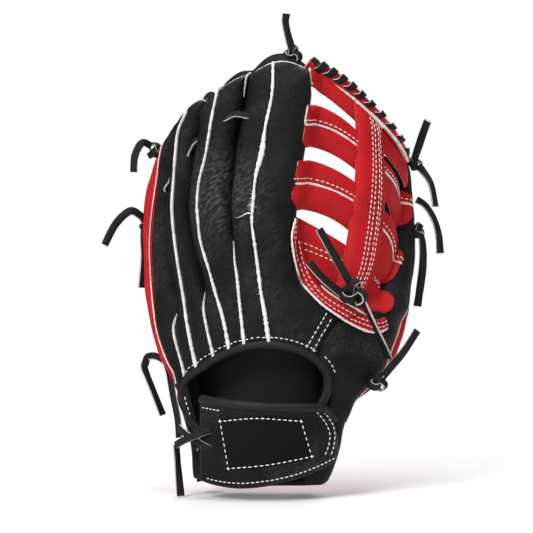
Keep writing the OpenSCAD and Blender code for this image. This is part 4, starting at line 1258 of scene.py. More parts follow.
class GLOVE_OT_welts(bpy.types.Operator):
    """Makes the white welts in the seams, with their frayed fibres"""

    bl_idname = "glove.welts"
    bl_label = "Welts"

    def execute(self, context):
        wide = size("welt_width")
        fingers, forks, tips = [], [], []
        for i in range(4):
            low = 70.0 if i == 0 else number(low_of, i, 0.42) - 1.0
            t = np.linspace(low, number(tip_of, i, 0.42) - 0.5, 200)
            u = ridge(i, t)
            p = welt_line(i, u, t)
            if i == 0:
                p = p + pinky_shift(u - 0.02, t)

            def taper(s, i=i):
                if i == 0:
                    return 0.6 - 0.42 * ease((s - 0.36) / 0.1) * (1 - ease((s - 0.64) / 0.1))
                w = 1 + 0.75 * bell(s, 0, 0.16) - 0.2 * ease((s - 0.85) / 0.15)
                return w + (0.3 + 1.2 * bell(s, 0.66, 0.05) if i == 3 else 0)

            fingers.append(welt(f"welt_{i}", p, wide, 2.2 if i else 0.7, 40 + i, taper))
        for i in (1, 2, 3):
            foot = max(number(low_of, i, 0.0), number(low_of, i - 1, 1.0)) - 1.0
            t = np.linspace(foot, FORK_T[i - 1] - 1, 90)
            r = np.maximum(stall_r(i, 0.0, t), stall_r(i - 1, 1.0, t)) + BACK_T + 0.3
            p = at(r, degrees(through(LINES[i], t)), t)
            forks.append(welt(f"fork_{i}", p, wide * (1.25 if i == 3 else 0.9), 2.2, 50 + i, fork_taper))
        for i in range(4):
            u = np.linspace(0.1 if i else 0.6, 0.94, 40)
            t = tip_of(i, u) - 0.5
            p = welt_line(i, u, t)
            tips.append(welt(f"tip_{i}", p + pinky_shift(u, t) if i == 0 else p, 1.1, 1.0, 60 + i,
                             lambda s: 0.5 + 0.6 * hump(s)))
        t = np.linspace(272, 289, 24)
        p = at(stall_r(3, 0.045, t) + BACK_T, degrees(through(LINE_3, t)), t)
        tips.append(welt("tip_fork", p, 1.2, 1.6, 66, lambda s: 0.25 + 0.75 * s))
        strand = []
        for mm, t in ((-0.4, 190.5), (-3.0, 190.8), (-6.0, 189.6), (-9.0, 188.0), (-12.0, 187.6)):
            u = number(ridge, 3, t)
            a = float(across(3, u, np.array(t), 0)) + float(degrees(mm))
            strand.append(at(stall_r(3, u - 0.02, np.array(t)) + BACK_T + 1.4 - 0.05 * mm**2 * 0.3, a, t))
        fingers.append(welt("long_strand", along(np.stack(strand), 40), 1.0, 1.0, 68, lambda s: 1.1 - 0.9 * s))
        place(joined("welts_on_fingers", fingers), "hand", "welt", "finger_welts")
        place(joined("welts_at_forks", forks), "hand", "welt", "fork_welts")
        place(joined("raw_edges_at_tips", tips), "hand", "welt")
        points, ways, reach = frayed()
        o = grown("frayed_fibres", fibre_tree(), points, {"along": ways}, {"reach": reach},
                  {"Fibre width": 0.00026, "Raw hide": MATERIALS["raw"]})
        place(o, "hand", "welt")
        return {"FINISHED"}


def palm_right(r, t):
    c = np.minimum(angle_at_x(r, hinge_x(t) - CREASE_GAP, t), degrees(through(THUMB_OUTER, t) - 3))
    return np.where(t <= 112, c, mix(c, degrees(through(PALM_EDGE, t) - SIDE_GAP), ease((t - 112) / 34)))


def palm_line(i, r, t):
    if i == 4:
        return palm_right(r, t)
    return degrees(through(LINES[i], t)) * (1 if i < 2 else mix(0.8, 1, np.minimum(1, t / 92)))


def palm_height(c, q, edge, top):
    i, u = min(3, c[0]), 1.0 if c[0] == 4 else c[1]
    fork = mix(FORK_T[max(0, i - 1)], FORK_T[min(2, i)], u)
    tip = number(tip_of, i, u * 0.58 if c[2] else u) - top
    return np.where(q <= 1, mix(edge, FLAP_T - 3, q),
                    np.where(q <= 2, mix(FLAP_T - 3, fork, q - 1), mix(fork, tip, q - 2)))


def palm_angle(c, r, t, inset):
    m = degrees(1.0)
    if c[0] == 4:
        return mix(palm_right(r, t), degrees(through(THUMB_OUTER, t) - inset), c[1])
    left = palm_line(c[0], r, t) + (degrees(inset) if c[0] == 0 else m)
    return mix(left, palm_line(c[0] + 1, r, t) - (0 if c[0] == 3 else m), c[1])


PALM_WALL = PALM_T / CROWN_R * 180 / math.pi
POCKET_ROW = POCKET_R - 3.0


def fold_lift(f, near, pocket_side):
    """How high a red hide that is folded over an edge stands, thin towards its seam."""
    return BACK_T * (0.2 if f > 0.99 else 0.75 if f > near else 1.0) if pocket_side else 0.0


def palm_swell(i, u, t):
    """How far the palm's hide stands into the pocket: finger pads, and a soft heel."""
    pad = 1.6 * (4 * u * (1 - u)) ** 0.6 * ease((t - FORK_T[min(2, i)] + 20) / 40) if i < 4 else 0 * t
    heel = 2.2 * bell(t, 38, 26)
    return pad * (1 - ease((t - TOPS[min(3, i)] + 12) / 12)) + heel


class GLOVE_OT_palm(bpy.types.Operator):
    """Makes the red palm hide with its finger fronts and its side round the little finger"""

    bl_idname = "glove.palm"
    bl_label = "Palm"

    def execute(self, context):
        columns = [(0, u, 1.0) for u in [1.2, *np.linspace(1, 0, 14)[:-1]]] + [(0, 0.01, 1.0), (0, 0.0, 0.5)]
        first = len(columns)
        per = 14
        columns += [(i, k / (per - 1), 0.0) for i in range(4) for k in range(per)]
        columns += [(4, k / 4, 0.0) for k in (1, 2, 3, 4)]
        rows = np.concatenate([even(22), np.linspace(1, 2, 46)[1:], np.linspace(2, 3, 64)[1:]])
        flap, fork = 21, 66

        def face(lift, pocket_side):
            grid = []
            for c in columns:
                t = palm_height(c, rows, 0.0, 0.0)
                if c[2] == 1.0:
                    u = c[1] * (ridge(0, t) - beside_welt(13.5))
                    top = fold_lift(c[1], 0.9, pocket_side)
                    if c[1] > 1:
                        u, top = ridge(0, t) + 0.1, -0.9 if pocket_side else -1.5
                    grid.append(at(stall_r(0, u, t) + top, across(0, u, t, 0), t) + pinky_shift(u, t))
                elif c[2] > 0:
                    a = palm_line(0, POCKET_R, t) - PALM_WALL + degrees(lift)
                    grid.append(at(mix(POCKET_R, VALLEY_IN, 0.6), a, t))
                else:
                    inset = lift - PALM_T * 0.5 if c[0] == 0 and c[1] == 0 else 0.0
                    a = palm_angle(c, POCKET_R, t, inset)
                    p = at(POCKET_R + lift, a, t)
                    if pocket_side:
                        bulk = palm_swell(c[0], c[1], t) + 0.5 * ripple(p, 24, 5) + 0.25 * ripple(p, 9, 6)
                        p = at(POCKET_R - bulk * ease(t / 6), a, t)
                    grid.append(p)
            return np.stack(grid, axis=1)

        def opened(i, j):
            c = j - first
            if c >= 4 * per - 1:
                return i >= flap
            return i >= fork and c >= 0 and c % per == per - 1

        o = sheet("hide_palm", face(PALM_T, False), face(0.0, True), finishes("red", "raw_red", "lining"),
                  opened=opened, rim=1, sides=(2, 0))
        for f in o.data.polygons:
            # The cut edge beside the heel corner is dyed
            if f.material_index == 1 and f.center.x > 0.028 and f.center.z < 0.06:
                f.material_index = 0
        place(o, "hand", "red_leather", "palm_shell")
        a = mix(float(palm_line(0, POCKET_R, 0.0)) - 1, float(degrees(28.0)), even(90))
        p = resampled(at(POCKET_R + PALM_T / 2, a, 0.4), 1.5)
        out = [0.0, 0.0, 1.0] + 0.3 * away(p)
        place(rolled("roll_heel", p, out, ring(2.9, 14), 1 + 0.05 * ripple(p, 6, 77)), "hand", "black_leather")
        mm = mix(through(LINE_0, 5.0) + 8, through(THUMB_OUTER, 5.0) - 8, np.linspace(0.06, 0.94, 60))
        sew("stitches_hand", "hide_palm", at(POCKET_ROW, degrees(mm), 5.0))
        for i in range(4):
            for u in (0.14, 0.86):
                t = np.linspace(FORK_T[min(2, i)] + 16, TOPS[i] - 20, 80)
                sew("stitches_hand", "hide_palm", at(POCKET_ROW, across(i, u, t, 2), t))
        t = np.linspace(10, 140, 110)
        for off in (3.2, 6.2):
            sew("stitches_hand", "hide_palm", at(POCKET_ROW, palm_right(POCKET_R, t) - degrees(off), t))
        t = np.linspace(20, 118, 90)
        for off in (0.0, 3.0):
            bow = -34 + 26 * np.sin(np.pi * (t - 20) / 190) + off
            sew("stitches_hand", "hide_palm", at(POCKET_ROW, degrees(bow), t))
        return {"FINISHED"}


class GLOVE_OT_linings(bpy.types.Operator):
    """Makes the linings and the felt between the hides"""

    bl_idname = "glove.linings"
    bl_label = "Linings and felt"

    def execute(self, context):
        dark, wool = finishes("lining"), finishes("felt")
        thin, thick = {"roll": 1.0, "low": 0.5, "soft": 0.1}, {"roll": 2.0, "low": 0.5, "soft": 0.15}
        per = 8
        columns = [(i, k / (per - 1), 0.0) for i in range(4) for k in range(per)] + [(4, k / 3, 0.0) for k in (1, 2, 3)]
        rows = np.concatenate([even(10), np.linspace(1, 2, 24)[1:], np.linspace(2, 3, 24)[1:]])

        def face(lift):
            grid = []
            for c in columns:
                t = palm_height(c, rows, 3, 14)
                grid.append(at(LINING_IN + lift, palm_angle(c, LINING_IN, t, 4), t))
            return np.stack(grid, axis=1)

        def opened(i, j):
            return i >= 9 if j >= 4 * per - 1 else i >= 32 and j % per == per - 1

        soft = face(LINING_T)
        soft = soft + away(soft) * (0.25 * ripple(soft, 13, 3))[..., None]
        place(sheet("lining_palm", soft, face(0.0), dark, opened=opened), "hand", "lining", "palm_lining")

        def palm_pad(lift, u, q):
            t, r = mix(6.0, FORK_T[0] - 6, q), FELT_IN + lift
            right = palm_right(r, t) - degrees(1 + 7 * (1 - ease((t - 50) / 20)))
            return at(r, mix(palm_line(0, r, t) + degrees(6), right, u), t)

        o = hide("felt_palm", palm_pad, even(40), even(40), FELT_T, wool, **thick)
        place(o, "hand", "felt", "palm_felt")
        pads = []
        for i in range(4):
            def pad(lift, u, q, i=i):
                t = mix(FORK_T[min(2, i)] + 6, TOPS[i] - TIP_ROUND - 14, q)
                return at(FELT_IN + lift, across(i, u, t, 5), t)
            pads.append(hide(f"pad_{i}", pad, even(12), even(34), FELT_T, wool, **thick))
        place(joined("felts_fingers", pads), "hand", "felt", "finger_felts")
        for i, name in enumerate(FINGERS):
            def stall(lift, s, q, i=i):
                u = mix(0.13, 0.87, s)
                t = mix(FORK_T[min(2, i)] - 4, tip_of(i, u) - TIP_CAP * 0.7, q)
                return at(stall_r(i, u, t) - LINING_GAP - LINING_T + lift, across(i, u, t, SIDE_GAP / 2), t)
            o = hide("lining_" + name, stall, even(18), even(40), LINING_T, dark, **thin)
            place(o, "hand", "lining", name + "_lining")

        def thumb_front(lift, u, q):
            t, r = mix(FLAP_T + 3, THUMB_TOP - 16, q), LINING_IN + lift
            return at(r, thumb_angle(r, u, t, CREASE_GAP, 7), t)

        def thumb_over(lift, s, q):
            u = mix(0.13, 0.87, s)
            t = mix(136.0, thumb_tip(u) - TIP_CAP * 0.7, q)
            r = thumb_r(u, t) - LINING_GAP - LINING_T + lift
            return at(r, thumb_back_angle(u, t), t)

        halves = [hide("front", thumb_front, even(20), even(50), LINING_T, dark, **thin),
                  hide("over", thumb_over, even(18), even(34), LINING_T, dark, **thin)]
        place(joined("lining_thumb", halves), "crease", "lining", "thumb_lining")

        def thumb_pad(lift, u, q):
            t, r = mix(FLAP_T + 6, THUMB_TOP - 24, q), FELT_IN + lift
            return at(r, thumb_angle(r, mix(0.1, 0.98, u), t, CREASE_GAP + 1, 14), t)

        o = hide("felt_thumb", thumb_pad, even(20), even(50), FELT_T, wool, **thick)
        place(o, "crease", "felt", "thumb_felt")
        return {"FINISHED"}


def thumb_rows():
    """Shares up the thumb, closer together round the crotch and at the tip."""
    t = np.concatenate([np.linspace(44, 104, 40), np.linspace(105, 142, 34), np.linspace(144, 214, 40)])
    return np.concatenate([(t - 44) / (THUMB_TOP - 44), 1 - 0.115 * np.linspace(1, 0, 22) ** 1.8])


class GLOVE_OT_thumb(bpy.types.Operator):
    """Makes the thumb's black back, its red front and the welt between them"""

    bl_idname = "glove.thumb"
    bl_label = "Thumb"

    def execute(self, context):
        rows = thumb_rows()
        gap = 0.012

        def back(lift, s, q):
            t = mix(44.0, thumb_tip(s * 0.8), q)
            u = s * (through(THUMB_RIDGE, t) - gap)
            lift = lift * ease((t - 43) / 9)
            mm = mix(through(THUMB_INNER, t), through(THUMB_OUTER, t), u)
            under_lap = 2.4 * (1 - ease((mm - through(LINE_4, t) - 0.5) / 5))
            under_lap = under_lap * ease((t - 84) / 5) * (1 - ease((t - 125) / 6))
            return at(thumb_r(u, t) + lift - under_lap - thumb_closed(t, thumb_tip(s * 0.8)), thumb_back_angle(u, t), t)

        o = hide("hide_thumb_back", back, shares(60, 1.6), rows, BACK_T, finishes("black", "lining"), low=0.15,
                 sides="lrt", swell=lambda u, q: 0.8 * hump(u) ** 0.8, soft=0.6, seed=23, faces=(0, 1))
        place(o, "crease", "black_leather", "thumb_back")
        columns = [(u, 0.0) for u in even(26)] + [(1.0, 0.5)]
        columns += [(0.99, 1.0)] + [(1 - 0.01 * k, 1.0) for k in range(2, 12)] + [(0.88, 1.0)]

        def face(lift, pocket_side):
            grid = []
            for u, over in columns:
                tip = number(thumb_tip, u)
                t = mix(FLAP_T - 3, tip, rows)
                if over == 1.0:
                    f = (1 - u) / 0.11
                    v = mix(0.99, through(THUMB_RIDGE, t) + gap, f)
                    top = fold_lift(f, 0.85, pocket_side)
                    if f > 1.01:
                        v, top = through(THUMB_RIDGE, t) - 0.06, -0.7 if pocket_side else -1.3
                    p = at(thumb_r(v, t) + top - thumb_closed(t, tip), thumb_back_angle(v, t), t)
                    bulge = 2.4 * hump(np.minimum(1, 1.35 * (1 - f)))
                    p[:, 0] += bulge * (1 - ease((t - 112) / 25)) * ease((t - 58) / 8)
                    p[:, :2] -= (away(p) * (2.4 * (1 - ease((t - 52) / 14)))[:, None])[:, :2]
                    grid.append(p)
                elif over > 0:
                    a = degrees(through(THUMB_OUTER, t) - lift) + PALM_WALL
                    grid.append(at(mix(POCKET_R, VALLEY_IN, 0.6), a, t))
                else:
                    r = POCKET_R + lift
                    a = thumb_angle(r, u, t, CREASE_GAP, lift - PALM_T * 0.5 if u == 1 else 0.0)
                    p = at(r, a, t)
                    if pocket_side:
                        r = r - 1.4 * hump(u) - 0.5 * ripple(p, 24, 5) - 0.25 * ripple(p, 9, 6)
                        p = at(r, a, t)
                    grid.append(p)
            return np.stack(grid, axis=1)

        o = sheet("hide_thumb_palm", face(PALM_T, False), face(0.0, True), finishes("red", "lining"), sides=(1, 0))
        place(o, "crease", "red_leather", "thumb_palm")
        t = np.linspace(58, 224, 150)
        for off in (3.2, 6.2):
            a = thumb_angle(POCKET_R, 0.0, t, CREASE_GAP, 0.0) + degrees(off)
            sew("stitches_web", "hide_thumb_palm", at(POCKET_R - 2.0, a, t))
        q = np.linspace(0, 0.985, 240)
        t = mix(FLAP_T - 3, number(thumb_tip, 0.9), q)
        v = through(THUMB_RIDGE, t)
        r = thumb_r(v, t) + BACK_T + 0.1 - 2.4 * (1 - ease((t - 52) / 14)) - thumb_closed(t, 230.0)
        o = welt("welt_on_thumb", at(r, thumb_back_angle(v, t), t), size("welt_width") * 0.6, 0.8, 71)
        place(o, "crease", "welt", "thumb_edge_welt")

        def gusset(lift, u, q):
            t = mix(24.0, 121.0, q)
            r = POCKET_R + 0.4 + lift
            low, high = palm_right(r, t) - degrees(1.2), thumb_angle(r, 0.0, t, CREASE_GAP, 0) + degrees(1.2)
            high = np.where(t < FLAP_T, angle_at_x(r, hinge_x(t) + CREASE_GAP, t), high)
            return at(r + 1.6 * hump(u), mix(low, high, u), t)

        o = hide("crease_gusset", gusset, even(14), even(80), 2.0, finishes("red", "lining"), 1.0, 0.5, soft=0.2,
                 seed=29, faces=(1, 0))
        place(o, "crease", "red_leather")
        q = even(60)
        for start, end in (((29.6, 98.0), (43.4, 121.0)), ((34.6, 95.6), (46.4, 116.0))):
            x, t = (mix(start[k], end[k], q) for k in (0, 1))
            r = CROWN_R + rise(t) + 2.5
            sew("stitches_web", "hide_index_back_inner", at(r, angle_at_x(r, x, t), t), 3.9, 2.9)
        return {"FINISHED"}


class GLOVE_OT_binding(bpy.types.Operator):
    """Makes the rolled binding round the opening over the wrist"""

    bl_idname = "glove.binding"
    bl_label = "Binding"

    def execute(self, context):
        around = along(OPENING, 240)
        t = around[:, 1]
        layer = CROWN_IN + rise(t) + BACK_T * 0.55
        p = resampled(at(layer, angle_at_x(layer, around[:, 0], t), t), 1.0)
        w = 1 + 0.05 * ripple(p, 5, 81) + 0.04 * ripple(p, 15, 82)
        o = rolled("roll_wrist", p, away(p), ring(size("binding_radius"), 18, 0.95), w,
                   lambda rings: 0.10 * shake(rings, 2.6, 83))
        place(o, "crease", "black_leather", "wrist_binding", "thumb_binding")
        mm = np.linspace(-75, 22, 220)
        t = through(RIM, mm) + BINDING_R + 1.9
        for i, half in itertools.product((1, 2, 3), ("outer", "inner")):
            left, right = through(LINES[i], t), through(LINES[i + 1], t)
            seam = mix(left, right, ridge(i, t))
            start, end = (left, seam) if half == "outer" else (seam, right)
            inside = (mm > start + 1.6) & (mm < end - 1.6)
            if inside.sum() > 3:
                sew("stitches_web" if (i, half) == (3, "inner") else "stitches_hand", f"hide_{FINGERS[i]}_back_{half}",
                    at(CROWN_R + rise(t[inside]) + 2, degrees(mm[inside]), t[inside]), 3.4, 2.5)
        mm = np.linspace(23.5, 29.5, 30)
        t = through(RIM, mm) + 2.2
        sew("stitches_web", "hide_thumb_back", at(CROWN_R + rise(t) + 2, degrees(mm + 4.4), t), 3.4, 2.5)
        t = np.linspace(24, 60, 60)
        p = at(CROWN_R + rise(t) + 1, degrees(through(LINE_1, t) - 3.6), t)
        sew("stitches_hand", "hide_pinky_back", p, 3.4, 2.5)
        return {"FINISHED"}


class GLOVE_OT_strap(bpy.types.Operator):
    """Makes the wrist strap with its roll, lining, bare patch and crossed lace"""

    bl_idname = "glove.strap"
    bl_label = "Wrist strap"

    def execute(self, context):
        def body(lift, u, q):
            a = mix(STRAP_LEFT, STRAP_RIGHT, u)
            return strap_at(WRIST_R + lift, a, mix(strap_foot(a), strap_head(a), q))

        o = hide("hide_strap", body, shares(105, 1.7), shares(50, 1.6), WRIST_T, finishes("black", "lining"), roll=4.0,
                 low=0.2, swell=lambda u, q: hump(q) ** 0.7, soft=0.55, seed=37)
        place(o, "strap", "black_leather", "wrist_strap")

        def lining(lift, u, q):
            a = mix(STRAP_LEFT + 8, STRAP_RIGHT - 8, u)
            return strap_at(WRIST_R - LAYER_GAP - 3 + lift, a, mix(strap_foot(a) + 4, strap_head(a) - 4, q))

        o = hide("lining_strap", lining, shares(90, 3), shares(42, 3), 3.0, finishes("lining"), 1.5, 0.5, soft=0.2)
        place(o, "strap", "lining", "strap_lining")
        turn = along([[43.0, 6.5, 0], [47.6, 1.5, 0], [48.8, -4.0, 0], [47.4, -8.6, 0], [44.3, -10.4, 0]], 60)

        def tab(lift, u, q):
            k = even(len(turn))
            x, y = (np.interp(u, k, turn[:, j]) for j in (0, 1))
            slope = [np.interp(u, k, np.gradient(turn[:, j])) for j in (0, 1)]
            long = np.hypot(*slope)
            return np.stack([x - slope[1] / long * lift, y + slope[0] / long * lift,
                             mix(strap_foot(STRAP_RIGHT) + 2.5, strap_head(STRAP_RIGHT) - 5.0, q)], axis=-1)

        o = hide("tab_strap", tab, shares(22, 1.2), shares(24, 1.6), 2.0, finishes("black", "lining"), roll=1.5,
                 low=0.3, soft=0.3, seed=43, faces=(0, 1))
        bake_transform(o)
        r = size("binding_radius") * 1.05
        a = np.linspace(STRAP_LEFT + 1.5, STRAP_RIGHT - 1.5, 110)
        p = strap_at(WRIST_R + 1.2, a, strap_head(a) - 0.4)
        o = rolled("roll_strap", p, strap_out(p), ring(r, 18), 1 + 0.05 * ripple(p, 6, 91))
        place(o, "strap", "black_leather")

        def patch(lift, u, q):
            top = along(PATCH_EDGE[:3], 40)
            low = along(PATCH_EDGE[5:2:-1], 40)
            k = even(len(top))
            ends = [np.stack([np.interp(u, k, e[:, j]) for j in (0, 1)], axis=-1) for e in (low, top)]
            c = mix(ends[0], ends[1], q[..., None])
            return strap_at(WRIST_R + WRIST_T + 0.35 + lift, c[..., 0], c[..., 1])

        o = hide("patch_strap", patch, shares(58, 1.6), shares(32, 1.6), 1.3, finishes("patch", "lining"), roll=1.2,
                 low=0.1, swell=lambda u, q: 0.35 * hump(u) * hump(q), soft=0.2, seed=41)
        place(o, "strap", "black_leather", "strap_patch")
        for side in (PATCH_ROW[0:3], PATCH_ROW[2:4], PATCH_ROW[3:6], [PATCH_ROW[5], PATCH_ROW[0]]):
            c = along(side, 40)
            sew("stitches_strap", "patch_strap", strap_at(WRIST_R + 6, c[:, 0], c[:, 1]), 3.9, 2.8)
        a = np.linspace(STRAP_LEFT + 8, STRAP_RIGHT - 3, 120)
        sew("stitches_strap", "hide_strap", strap_at(WRIST_R + 6, a, strap_foot(a) + 3.6), 3.5, 2.5)
        q = even(50)
        for off in (0.0, 4.6):
            bow = 34.0 + off + 4.0 * hump(q) - 5.0 * q**2
            sew("stitches_strap", "hide_strap", strap_at(WRIST_R + 6, bow, mix(24.5, 53.0, q)), 3.6, 2.6)
        a = np.linspace(-41.5, -31, 20)
        sew("stitches_strap", "hide_strap", strap_at(WRIST_R + 6, a, strap_head(a) - 5.5), 3.2, 2.3)
        crosses = []
        for side in (-1, 1):
            r = WRIST_R + WRIST_T + LAYER_GAP + 1 + (side + 1) / 2 * 2.5
            route = [strap_at(WRIST_R - 1, STRAP_LEFT + 12.5, 34 + side * 7.6)]
            route += [strap_at(r, STRAP_LEFT + 9 - 9 * k, 34 + side * (6 - 4 * k)) for k in range(4)]
            p = along(route, 40)
            crosses.append(lace(f"cross_{side}", p, strap_out(p), 5.0, 1.9, seed=5 + side))
        place(joined("lace_strap_cross", crosses), "strap", "lace", "strap_lace")
        return {"FINISHED"}


def over_thumb(u, t, past, r):
    """Radius and place across of a strap, whose right end lies over the thumb's edge."""
    mm = mix(web_left(t), web_right(t) + past, u)
    inner, outer = (through(c, np.maximum(t, 122)) for c in (THUMB_INNER, THUMB_OUTER))
    on_thumb = thumb_r(np.clip((mm - inner) / (outer - inner), 0, 1), t) + BACK_T + 1.0
    r = mix(r, np.maximum(r, on_thumb), ease((mm - inner + 18) / 18))
    return r, degrees(mm)


def strap_point(k):
    c = STRAP_TS[k]

    def point(lift, v, u):
        front = (8.0, 13.0, 13.0)[k] * (1 - ease((u + 0.01) / 0.15))
        u = mix((-0.02, -0.07, -0.075)[k], 1.0, u)
        bow = c[4] * np.sin(np.pi * np.clip(u, 0, 1) ** 0.7)
        wide = mix(c[2], c[3], u)
        if k == 0:
            t = through(RAIL_LINE, np.clip(u, 0, 1)) - 3.4 - wide * v
        else:
            wide = wide + (0, 10, 4)[k] * ease((u - 0.74) / 0.26)
            t = mix(c[0], c[1], np.maximum(u, 0)) + bow + wide * (0.5 - v)
            t = t - 1.5 * (1 - ease(u / 0.45)) + 2.5 * hump(np.clip(u / 0.62, 0, 1))
        past = STRAP_OVER[k] - (6, 9, 8)[k] * np.abs(2 * v - 1) ** 3
        back = 5.5 * ease((u - 0.6) / 0.4) if k == 0 else -4 * ease((u - 0.7) / 0.3)
        r, a = over_thumb(u, t, past, web_r(u) + back)
        return at(r + front + lift, a, t)
    return point


def apron_point(lift, v, u):
    """The lowest strap is broad, and runs down behind the base."""
    u = mix(-0.05, 1.0, u)
    t = mix(mix(187.5, 142.0, u), mix(108.0, 119.0, ease((u - 0.45) / 0.4)), v)
    past = STRAP_OVER[3] - 9 * np.clip(1 - v / 0.4, 0, 1) ** 2 - 16 * np.clip((v - 0.45) / 0.55, 0, 1) ** 2
    r, a = over_thumb(u, np.maximum(t, 122), past, web_r(u) - 3 * ease((u - 0.7) / 0.3))
    return at(r - 2.5 * ease((v - 0.3) / 0.4) * (1 - ease((u - 0.7) / 0.2)) + lift, a, t)


def bar_point(lift, v, q):
    t = mix(126.0, through(RAIL_LINE, mix(0.5, 0.75, v)) - 4.2, q)
    mm = through(BAR_LINE, t) + BAR_W * (v - 0.5) * through(BAR_WIDE, t)
    return at(web_r(web_share(mm, np.maximum(t, 150))) + STRAP_T + 2 * LAYER_GAP + lift, degrees(mm), t)


def base_point(lift, v, u):
    p = mix(through(BASE_HIGH, u), through(BASE_LOW, u), v[..., None])
    return at(base_r(p[..., 0], p[..., 1]) + lift, degrees(p[..., 0]), p[..., 1])


class GLOVE_OT_web(bpy.types.Operator):
    """Makes the web: straps, centre bar, base, rail and its wound lace"""

    bl_idname = "glove.web"
    bl_label = "Web"

    def execute(self, context):
        red = finishes("red", "raw_red")
        edge = size("edge_width")
        raw = []

        def cut_edge(name, path, width, seed):
            raw.append(welt(name, path, width, width * 0.9, seed))

        line = even(120)
        full = np.ones_like(line)
        split = 0.46
        for k in range(4):
            point = strap_point(k) if k < 3 else apron_point
            wide = STRAP_TS[k][2] if k < 3 else 66
            name = f"web_strap_{k + 1}"
            puffed, flat = ((1.4, 0), (3.0, 0.42), (3.4, 0.42), (1.2, 0))[k]
            o = hide("hide_" + name, point, shares(wide, 1.2), shares(105, 1.6), STRAP_T, red, roll=5.0, low=0.12,
                     swell=lambda v, u: puffed * hump(np.clip((v - flat) / (1 - flat), 0, 1)) ** 0.7,
                     sides="lrt", under=lambda v, u: 1.2 * hump(v) ** 0.6, soft=0.45, seed=100 + k, rim=1)
            place(o, "crease", "red_leather", name)
            if k in (1, 2):
                def flap(lift, v, u, point=point):
                    end = np.sqrt(1 - (1 - np.clip((1 - u) / 0.06, 0, 1)) ** 2)
                    return point((lift + STRAP_T + 0.7) * mix(0.25, 1, end)
                                 + 1.4 * hump(np.minimum(1, v)) ** 0.7 * (1 - v) ** 0.3 * end, v * split, u)

                o = hide(f"flap_{name}", flap, shares(wide * split, 1.2), shares(105, 1.6), 1.2, red, roll=1.2, low=0.3,
                         sides="l", soft=0.25, seed=110 + k, rim=1)
                place(o, "crease", "red_leather")
                cut_edge(f"raw_{k}", flap(0.7 * full, full, line), edge * 1.25, 120 + k)
                sew("stitches_web", f"flap_{name}", flap(3 * full, full * 0.80, line), 3.9, 2.8)
            if k == 3:
                for v in (0.20, 0.255):
                    sew("stitches_web", "hide_" + name, point(6 * full, full * v, 0.93 * line), 3.9, 2.8)
            if k < 3:
                end = np.linspace(0.04, 0.9 if k == 0 else split * 0.98, 24)
                lift = np.full(24, STRAP_T * 0.8 if k == 0 else STRAP_T + 1.6)
                cut_edge(f"raw_end_{k}", point(lift, end, np.zeros(24)), edge, 126 + k)
        o = hide("hide_web_bar", bar_point, shares(BAR_W, 1.1), shares(118, 1.6), STRAP_T, red, roll=5.0, low=0.05,
                 swell=lambda v, q: 2.2 * hump(v) ** 0.8 + 0.8 * bell(v, 0.16, 0.09)
                 + 0.8 * bell(v, 0.9, 0.08), under=lambda v, q: 0.3 * hump(v), soft=0.4,
                 seed=131, rim=1)
        place(o, "crease", "red_leather", "web_centre_bar")
        for v in (0.40, 0.50, 0.63, 0.73):
            sew("stitches_web", "hide_web_bar", bar_point(7 * full, full * v, mix(0.04, 0.97, line)), 3.7, 2.7)
        cut_edge("raw_bar", bar_point(STRAP_T * 0.8 * full, mix(0.02, 0.98, line), full), edge, 133)

        def rail(lift, v, u):
            return rail_point(lift - STRAP_T / 2, mix(0.0, 1.03, u), mix(3.9, -5.5, v))

        o = hide("hide_web_rail", rail, shares(RAIL_W, 1.0), shares(115, 1.4), STRAP_T, red, roll=2.0, low=0.35,
                 sides="lr", swell=lambda v, u: 0.5 * hump(v) ** 0.6, soft=0.4, seed=135, rim=1)
        place(o, "crease", "red_leather", "web_top_rail")
        inner = mix(0.01, 0.99, line)
        cut_edge("raw_rail", rail(STRAP_T * 0.85 * full, full * 0.99, inner), edge * 1.3, 136)
        cut_edge("raw_rail_top", rail(STRAP_T * 0.5 * full, full * 0.0, inner), edge * 0.7, 138)
        o = hide("hide_web_base", base_point, shares(10, 0.8), shares(130, 1.3), 2.4, red, roll=1.6, low=0.35, soft=0.3,
                 seed=141, rim=1)
        place(o, "crease", "red_leather", "web_base")
        cut_edge("raw_base", base_point(1.7 * full, full, mix(0.0, 0.985, line)), edge * 1.1, 142)
        cut_edge("raw_base_inner", base_point(2.4 * full, full * -0.1, mix(0.42, 0.8, line)), edge, 144)
        for v in (0.62, 0.30):
            sew("stitches_web", "hide_web_base", base_point(4 * full, full * v, mix(0.02, 0.98, line)), 3.6, 2.6)
        place(joined("raw_edges_web", raw), "crease", "welt")
        turns = context.scene.glove_sizes.rail_turns
        g = np.linspace(0, 2 * math.pi * turns, turns * 44 + 1)
        u = mix(0.03, 0.97, g / g[-1])
        high, wide = 2.8, 3.8
        middle = rail_point(0 * g, u, 0.9 + 0 * g)
        out, side = (np.sign(f) * np.abs(f) ** 0.62 for f in (np.cos(g), np.sin(g)))
        p = rail_point(high * out, u, 0.9 + wide * side)
        o = lace("lace_rail", p, p - middle, 5.4, 1.3, seed=15)
        place(o, "crease", "lace", "web_top_lace")
        return {"FINISHED"}


def knot_mesh(name, centre, axis, big, width, seed):
    """A tied lace: a flat band drawn through itself."""
    g = np.linspace(0.15, 2 * math.pi - 0.15, 150)
    x, y, z = np.sin(g) + 2 * np.sin(2 * g), np.cos(g) - 2 * np.cos(2 * g), -np.sin(3 * g)
    a = np.asarray(axis, float) / np.linalg.norm(axis)
    side = np.cross(a, [0.31, 0.17, 0.93])
    side /= np.linalg.norm(side)
    third = np.cross(a, side)
    p = np.asarray(centre, float) + (x[:, None] * side + y[:, None] * third) * big / 3 + z[:, None] * a * big * 0.42
    p = p + 0.25 * shake(p, 4, seed)
    return lace(name, p, p - np.asarray(centre) + 0.6 * big * a, width, 1.7, seed=seed)


